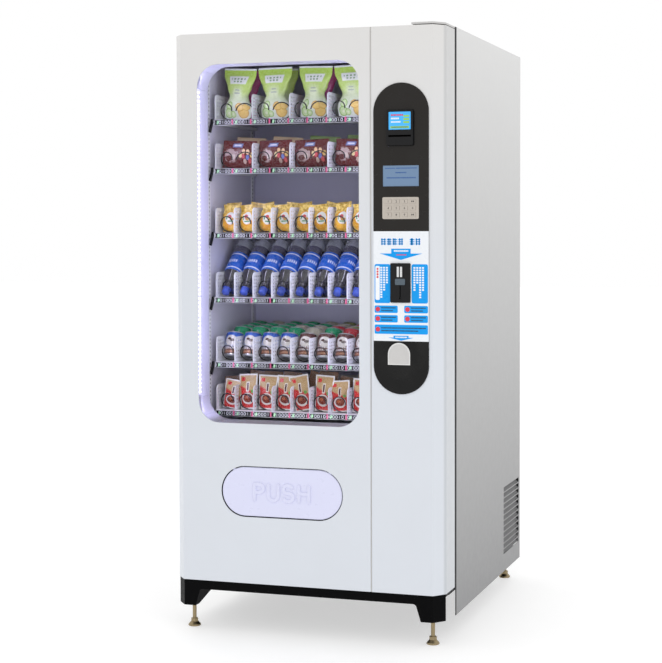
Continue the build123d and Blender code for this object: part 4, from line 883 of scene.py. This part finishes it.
def pouch_look():
    g = Graph("pack_pouch")
    u, v, w = g.design()
    slope = g.math("ADD", v, g.math("MULTIPLY", u, 0.25))
    tone = g.mix(g.ramp(slope, 0.66, 0.72), (0.56, 0.025, 0.02), (0.50, 0.33, 0.15))
    tone = g.mix(g.disc(u, v, (0.5, 0.30), (0.34, 0.17)), tone, (0.75, 0.70, 0.64))
    tone = g.mix(g.disc(u, v, (0.5, 0.31), (0.27, 0.125)), tone, (0.22, 0.035, 0.015))
    tone = g.mix(g.disc(u, v, (0.44, 0.33), (0.10, 0.045)), tone, (0.45, 0.10, 0.03))
    tone = g.mix(g.bar(u, v, (0.44, 0.60), (0.50, 0.78)), tone, (0.80, 0.74, 0.66))
    tone = g.mix(g.bar(u, v, (0.47, 0.57), (0.53, 0.75)), tone, (0.10, 0.03, 0.03))
    tone = g.mix(g.bar(u, v, (0.14, 0.34), (0.80, 0.91)), tone, (0.62, 0.03, 0.03))
    tone = g.mix(g.disc(u, v, (0.78, 0.50), (0.08, 0.05)), tone, (0.14, 0.35, 0.06))
    edge = g.math("MAXIMUM", g.ramp(g.math("ABSOLUTE", g.math("SUBTRACT", u, 0.5)), 0.43, 0.45),
                  g.ramp(g.math("ABSOLUTE", g.math("SUBTRACT", v, 0.5)), 0.455, 0.47))
    tone = g.mix(edge, tone, (0.82, 0.80, 0.76))
    return film_shine(g, tone, 0.24, 0.5)


def can_look(name, top, middle, low):
    """Coloured top and foot with a pale oval picture and text bars on two sides of the can."""
    g = Graph(name)
    u, v, w = g.design()
    tone = g.mix(g.ramp(v, 0.30, 0.44), low, middle)
    tone = g.mix(g.ramp(v, 0.62, 0.70), tone, top)
    twice = g.math("FRACT", g.math("MULTIPLY", u, 2.0))
    tone = g.mix(g.disc(twice, v, (0.5, 0.66), (0.25, 0.21)), tone, (0.66, 0.62, 0.58))
    tone = g.mix(g.disc(twice, v, (0.44, 0.72), (0.07, 0.05)), tone, tuple(c * 0.5 for c in low))
    tone = g.mix(g.disc(twice, v, (0.56, 0.66), (0.10, 0.06)), tone, tuple(0.4 * c + 0.12 for c in low))
    dots = g.math("FRACT", g.math("MULTIPLY", u, 24.0))
    for z in (0.40, 0.29):
        gaps = g.bar(dots, v, (0.15, 0.85), (-1.0, 2.0), 0.1)
        line = g.math("MULTIPLY", g.bar(twice, v, (0.18, 0.82), (z, z + 0.07)), gaps)
        tone = g.mix(line, tone, (0.66, 0.62, 0.62))
    tone = g.mix(g.bar(twice, v, (0.22, 0.76), (0.14, 0.22), 0.03), tone, (0.42, 0.20, 0.12))
    return g.finish(tone, g.ramp(g.noise(50.0), 0.3, 0.7, 0.22, 0.3), (g.noise(300.0), 0.02), Metallic=0.2)


def bottle_label():
    """Blue sleeve with a row of pale marks between two plain pale bands."""
    g = Graph("bottle_label")
    u, v, w = g.design()
    tone = g.mix(g.noise(20.0), (0.012, 0.085, 0.46), (0.02, 0.14, 0.60))
    thrice = g.math("FRACT", g.math("MULTIPLY", u, 3.0))
    for low in (0.395, 0.655):
        tone = g.mix(g.bar(thrice, v, (-1.0, 2.0), (low, low + 0.02), 0.004), tone, (0.70, 0.74, 0.82))
    dots = g.math("FRACT", g.math("MULTIPLY", u, 27.0))
    gaps = g.bar(dots, v, (0.2, 0.8), (-1.0, 2.0), 0.1)
    word = g.math("MULTIPLY", g.bar(thrice, v, (0.22, 0.78), (0.505, 0.555)), gaps)
    tone = g.mix(word, tone, (0.70, 0.74, 0.84))
    return g.finish(tone, g.ramp(g.noise(50.0), 0.3, 0.7, 0.22, 0.32), (g.noise(160.0), 0.1))


def see_through(name, colour, share, rough=0.12):
    """Clear plastic, shown as part surface and part open."""
    g = Graph(name)
    tone = g.mix(g.noise(60.0, 3.0), tuple(c * 0.85 for c in colour), colour)
    lift = {"Height": g.noise(90.0), "Distance": 0.4 * MM, "Strength": 1.0}
    bump = g.node("ShaderNodeBump", lift).outputs[0]
    values = {"Base Color": tone, "Roughness": rough, "Normal": bump, "Coat Weight": 0.6}
    body = g.node("ShaderNodeBsdfPrincipled", values)
    see = g.node("ShaderNodeBsdfTransparent", {0: (0.93, 0.95, 0.97, 1)})
    mixed = g.node("ShaderNodeMixShader", {0: share, 1: see.outputs[0], 2: body.outputs[0]})
    g.output(mixed.outputs[0])
    return g.material


# Goods: trays.
COIL_FRONT = front_of("spiral_3") + 2
HALF_TURN = [30, 30, 25, 38, 30, 22]  # depth of the coil's first half turn on each tray


def stand(tray, thick):
    """Middle of the first item on a tray, which bulges into the coil's first half turn."""
    return COIL_FRONT + HALF_TURN[tray] * 0.95 + thick / 2


def crisps():
    look = crisp_look()
    other = plain("pack_back_1", (0.45, 0.05, 0.20), 0.3, 200.0, 0.3, 0.3)
    sides = [(0, 0.80), (0.22, 0.86), (0.46, 0.56), (0.62, 0.74), (0.86, 0.98), (1, 1.0)]
    knots = [(0, 0.03), (0.05, 0.06), (0.25, 0.95), (0.45, 0.85), (0.7, 0.9), (0.94, 0.06), (1, 0.03)]
    for lane in range(4):
        x = (LANES[2 * lane] + LANES[2 * lane + 1]) / 2
        for place, (y, mark) in enumerate(((stand(0, 38), 0), (stand(0, 38) + 62, 1))):
            form = Shape()
            foot = Vector((x + (-6, -2, 2, 5)[lane], y, FLOORS[0] + 3))
            pack(form, foot, (119, 172, 42), sides, knots, 3 + lane * 5 + place * 31,
                 lean=3, turn=(-3, 2, -2, 4)[lane], roll=(3, -1, 1.5, -2)[lane])
            print_look = other if mark and lane in (0, 2) else look
            form.place(f"goods_crisps_{lane + 1}_{place + 1}", [print_look], "cabinet", smooth=60)


def brown_packs():
    look = brown_look()
    beige = plain("pack_beige", (0.55, 0.42, 0.26), 0.35, 120.0, 0.3, 0.2)
    leaf = plain("pack_leaf", (0.20, 0.30, 0.10), 0.35, 120.0, 0.3, 0.25)
    sides = [(0, 0.96), (0.5, 0.99), (1, 0.96)]
    knots = [(0, 0.05), (0.08, 0.35), (0.35, 1.0), (0.7, 1.0), (0.92, 0.35), (1, 0.05)]
    for lane in range(4):
        x = (LANES[2 * lane] + LANES[2 * lane + 1]) / 2
        form = Shape()
        foot = Vector((x + (-2, -3, -5, 2)[lane], stand(1, 42), FLOORS[1] + 3))
        pack(form, foot, (125, 92, 44), sides, knots, 11 + lane * 3,
             lean=4, turn=(2, -3, 1, -2)[lane], roll=(2, -1, -2, 1)[lane])
        form.place(f"goods_brown_{lane + 1}", [look], "cabinet", smooth=60)
        back = Shape()
        foot = Vector((x + 8, stand(1, 42) + 66, FLOORS[1] + 3))
        pack(back, foot, (112, 106, 46), sides, knots, 41 + lane, lean=5, roll=4)
        back.place(f"goods_brown_back_{lane + 1}", [(beige, beige, leaf, leaf)[lane]], "cabinet", smooth=60)


def buns():
    look = bun_look()
    sides = [(0, 0.86), (0.3, 1.0), (0.65, 0.94), (0.8, 0.80), (1, 0.92)]
    knots = [(0, 0.05), (0.1, 0.5), (0.35, 1.0), (0.6, 0.8), (0.78, 0.16), (1, 0.05)]
    for lane in range(8):
        for place in range(2):
            form = Shape()
            roll = (2, -4, 6, -3, 5, -6, 3, -2)[lane] * (1 if place == 0 else -2)
            foot = Vector((LANES[lane] + 1, stand(2, 34) + place * 50, FLOORS[2] + 3))
            pack(form, foot, (59, 92 + 8 * place, 36), sides, knots, 60 + lane * 7 + place * 3,
                 lean=4, turn=(3, -4, 2, -3)[lane % 4], roll=roll, crease=1.5)
            form.place(f"goods_bun_{lane + 1}_{place + 1}", [look], "cabinet", smooth=60)


BOTTLE = [
    (0.0, 11.5, 0), (1.2, 13.0, 0), (17.0, 13.4, 0), (18.5, 12.6, 0), (20.0, 15.0, 1), (22.5, 15.0, 1),
    (23.5, 12.2, 1), (33.0, 12.6, 1), (44.0, 15.5, 1), (56.0, 21.0, 1), (70.0, 27.0, 1), (80.0, 30.8, 1),
    (86.0, 31.6, 2), (87.0, 32.2, 2), (166.0, 32.2, 2), (167.0, 31.6, 3), (173.0, 30.4, 3), (180.0, 31.6, 3),
    (196.0, 31.6, 4), (214.0, 31.6, 4), (226.0, 30.0, 4), (237.0, 25.0, 4), (243.0, 17.0, 4), (240.0, 8.0, 4),
    (236.0, 2.0, 4),
]
CAN = [
    (6.0, 3.0, 1), (4.0, 13.0, 1), (1.0, 20.0, 1), (0.0, 22.5, 1), (0.6, 25.0, 1), (5.0, 29.4, 1),
    (7.5, 30.2, 0), (76.0, 30.2, 0), (82.0, 28.4, 1), (85.0, 27.8, 1), (86.0, 26.6, 1), (83.0, 25.4, 1),
    (82.5, 4.0, 1),
]


def bottles():
    cap = plain("bottle_cap", (0.045, 0.09, 0.46), 0.35, 500.0, 0.05, 0.15)
    drink = plain("bottle_drink", (0.018, 0.014, 0.024), 0.08, 60.0, 0.2, 0.4, **{"Coat Weight": 1.0})
    clear = see_through("bottle_clear", (0.42, 0.43, 0.48), 0.55)
    smoke = plain("bottle_smoke", (0.05, 0.045, 0.07), 0.12, 60.0, 0.3, 0.4, **{"Coat Weight": 1.0})
    looks = [cap, drink, bottle_label(), smoke, clear]
    for lane in range(8):
        for place in range(2):
            form = Shape()
            foot = Vector((LANES[lane] - 12, COIL_FRONT + 24 + place * 75, FLOORS[3] + 13))
            turned(form, foot, BOTTLE, 45, 1 + lane * 1.7 + place, lobes=220, roll=4)
            form.place(f"goods_bottle_{lane + 1}_{place + 1}", looks, "cabinet", smooth=50)


def cans():
    silver = brushed("can_silver", (0.62, 0.62, 0.63), 0.3)
    kinds = [
        can_look("can_blue", (0.03, 0.10, 0.42), (0.42, 0.47, 0.62), (0.16, 0.07, 0.05)),
        can_look("can_brown", (0.10, 0.035, 0.03), (0.20, 0.10, 0.08), (0.13, 0.05, 0.04)),
        can_look("can_green", (0.02, 0.33, 0.14), (0.05, 0.42, 0.20), (0.02, 0.22, 0.10)),
        can_look("can_cream", (0.48, 0.44, 0.34), (0.55, 0.50, 0.42), (0.30, 0.20, 0.12)),
        can_look("can_red", (0.52, 0.04, 0.05), (0.55, 0.10, 0.08), (0.35, 0.03, 0.03)),
        can_look("can_olive", (0.28, 0.30, 0.10), (0.40, 0.42, 0.20), (0.20, 0.20, 0.08)),
    ]
    order = [
        [0, 0, 0, 0, 1, 1, 1, 1],
        [2, 2, 2, 2, 3, 2, 4, 5],
        [2, 2, 2, 3, 3, 4, 5, 3],
        [2, 2, 2, 2, 2, 3, 4, 4],
        [2, 3, 2, 2, 3, 5, 5, 4],
    ]
    for lane in range(8):
        for place in range(5):
            form = Shape()
            rise = 0 if place == 0 else 12 + 3 * place
            foot = Vector((LANES[lane], stand(4, 61) + place * 61, FLOORS[4] + 11 + rise))
            turned(form, foot, CAN, 18 if place == 0 else 24, 2.3377 + (lane % 3 - 1) * 0.05 + place * 1.3)
            looks = [kinds[order[place][lane]], silver]
            form.place(f"goods_can_{lane + 1}_{place + 1}", looks, "cabinet", smooth=35)


def pouches():
    look = pouch_look()
    brown = plain("pack_back_6", (0.20, 0.10, 0.05), 0.35, 120.0, 0.3, 0.3)
    sides = [(0, 0.94), (0.5, 0.95), (0.75, 1.04), (1, 1.08)]
    knots = [(0, 0.05), (0.06, 0.08), (0.3, 0.9), (0.6, 1.0), (0.94, 0.08), (1, 0.05)]
    rolls = (9, -3, 2, 1, -12, 3, -4, 2)
    for lane in range(8):
        for place in range(2):
            form = Shape()
            roll = rolls[lane] if place == 0 else -rolls[lane] + 5
            high = (98, 118, 116, 116, 120, 120, 104, 112)[lane] + 8 * place
            x = LANES[lane] + (4, 4, 2, 2, 4, 2, 0, 2)[lane]
            foot = Vector((x, stand(5, 20) + place * 43, FLOORS[5] + 3))
            pack(form, foot, (63, high, 24), sides, knots, 90 + lane * 5 + place,
                 lean=5, turn=(4, -3, 3, -5)[lane % 4], roll=roll, crease=0.7)
            form.place(f"goods_pouch_{lane + 1}_{place + 1}", [(look, brown)[place]], "cabinet", smooth=60)


crisps()
brown_packs()
buns()
bottles()
cans()
pouches()


# Floor and light.
def area_light(name, spot, target, size, power, colour=(1, 1, 1), body=None):
    data = bpy.data.lights.new(name, "AREA")
    data.shape = "RECTANGLE"
    data.size, data.size_y = size
    data.energy = power
    data.color = colour
    lamp = bpy.data.objects.new(name, data)
    bpy.context.scene.collection.objects.link(lamp)
    lamp.location = spot
    lamp.rotation_euler = (Vector(target) - Vector(spot)).to_track_quat("-Z", "Y").to_euler()
    if body:
        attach(lamp, body)
    return lamp


def studio():
    bpy.ops.mesh.primitive_plane_add(size=60, location=(0, 0, 0))
    floor = bpy.context.object
    floor.name = "floor"
    glow = {"Emission Color": (1, 1, 1, 1), "Emission Strength": 0.55}
    floor.data.materials.append(plain("floor_pale", (0.50, 0.50, 0.50), 0.6, 30.0, 0.0, 0.01, **glow))
    world = bpy.data.worlds.new("studio")
    bpy.context.scene.world = world
    world.use_nodes = True
    world.node_tree.nodes["Background"].inputs[0].default_value = (1, 1, 1, 1)
    world.node_tree.nodes["Background"].inputs[1].default_value = 1.0
    area_light("key", (3.4, -4.6, 3.8), (0.3, -0.4, 1.4), (2.5, 2.5), 10, (1.0, 0.99, 0.97))
    # The diodes' light on the goods, from both sides of the window and along the lowest tray.
    for name, spot, target, size, power, colour, body in (
        ("diodes_left", (-380, 60, 1260), (0, 330, 1260), (0.03, 1.1), 1.4, (0.77, 0.75, 1.0), "door"),
        ("diodes_right", (196, 60, 1260), (-150, 330, 1260), (0.03, 1.1), 1.5, (0.79, 0.77, 1.0), "door"),
        ("diodes_low", (-90, 166, 690), (-90, 215, 560), (0.4, 0.02), 0.2, (0.92, 0.93, 1.0), "cabinet"),
    ):
        area_light(name, at(*spot), at(*target), size, power, colour, body)


studio()
bpy.context.scene.view_settings.view_transform = "Standard"
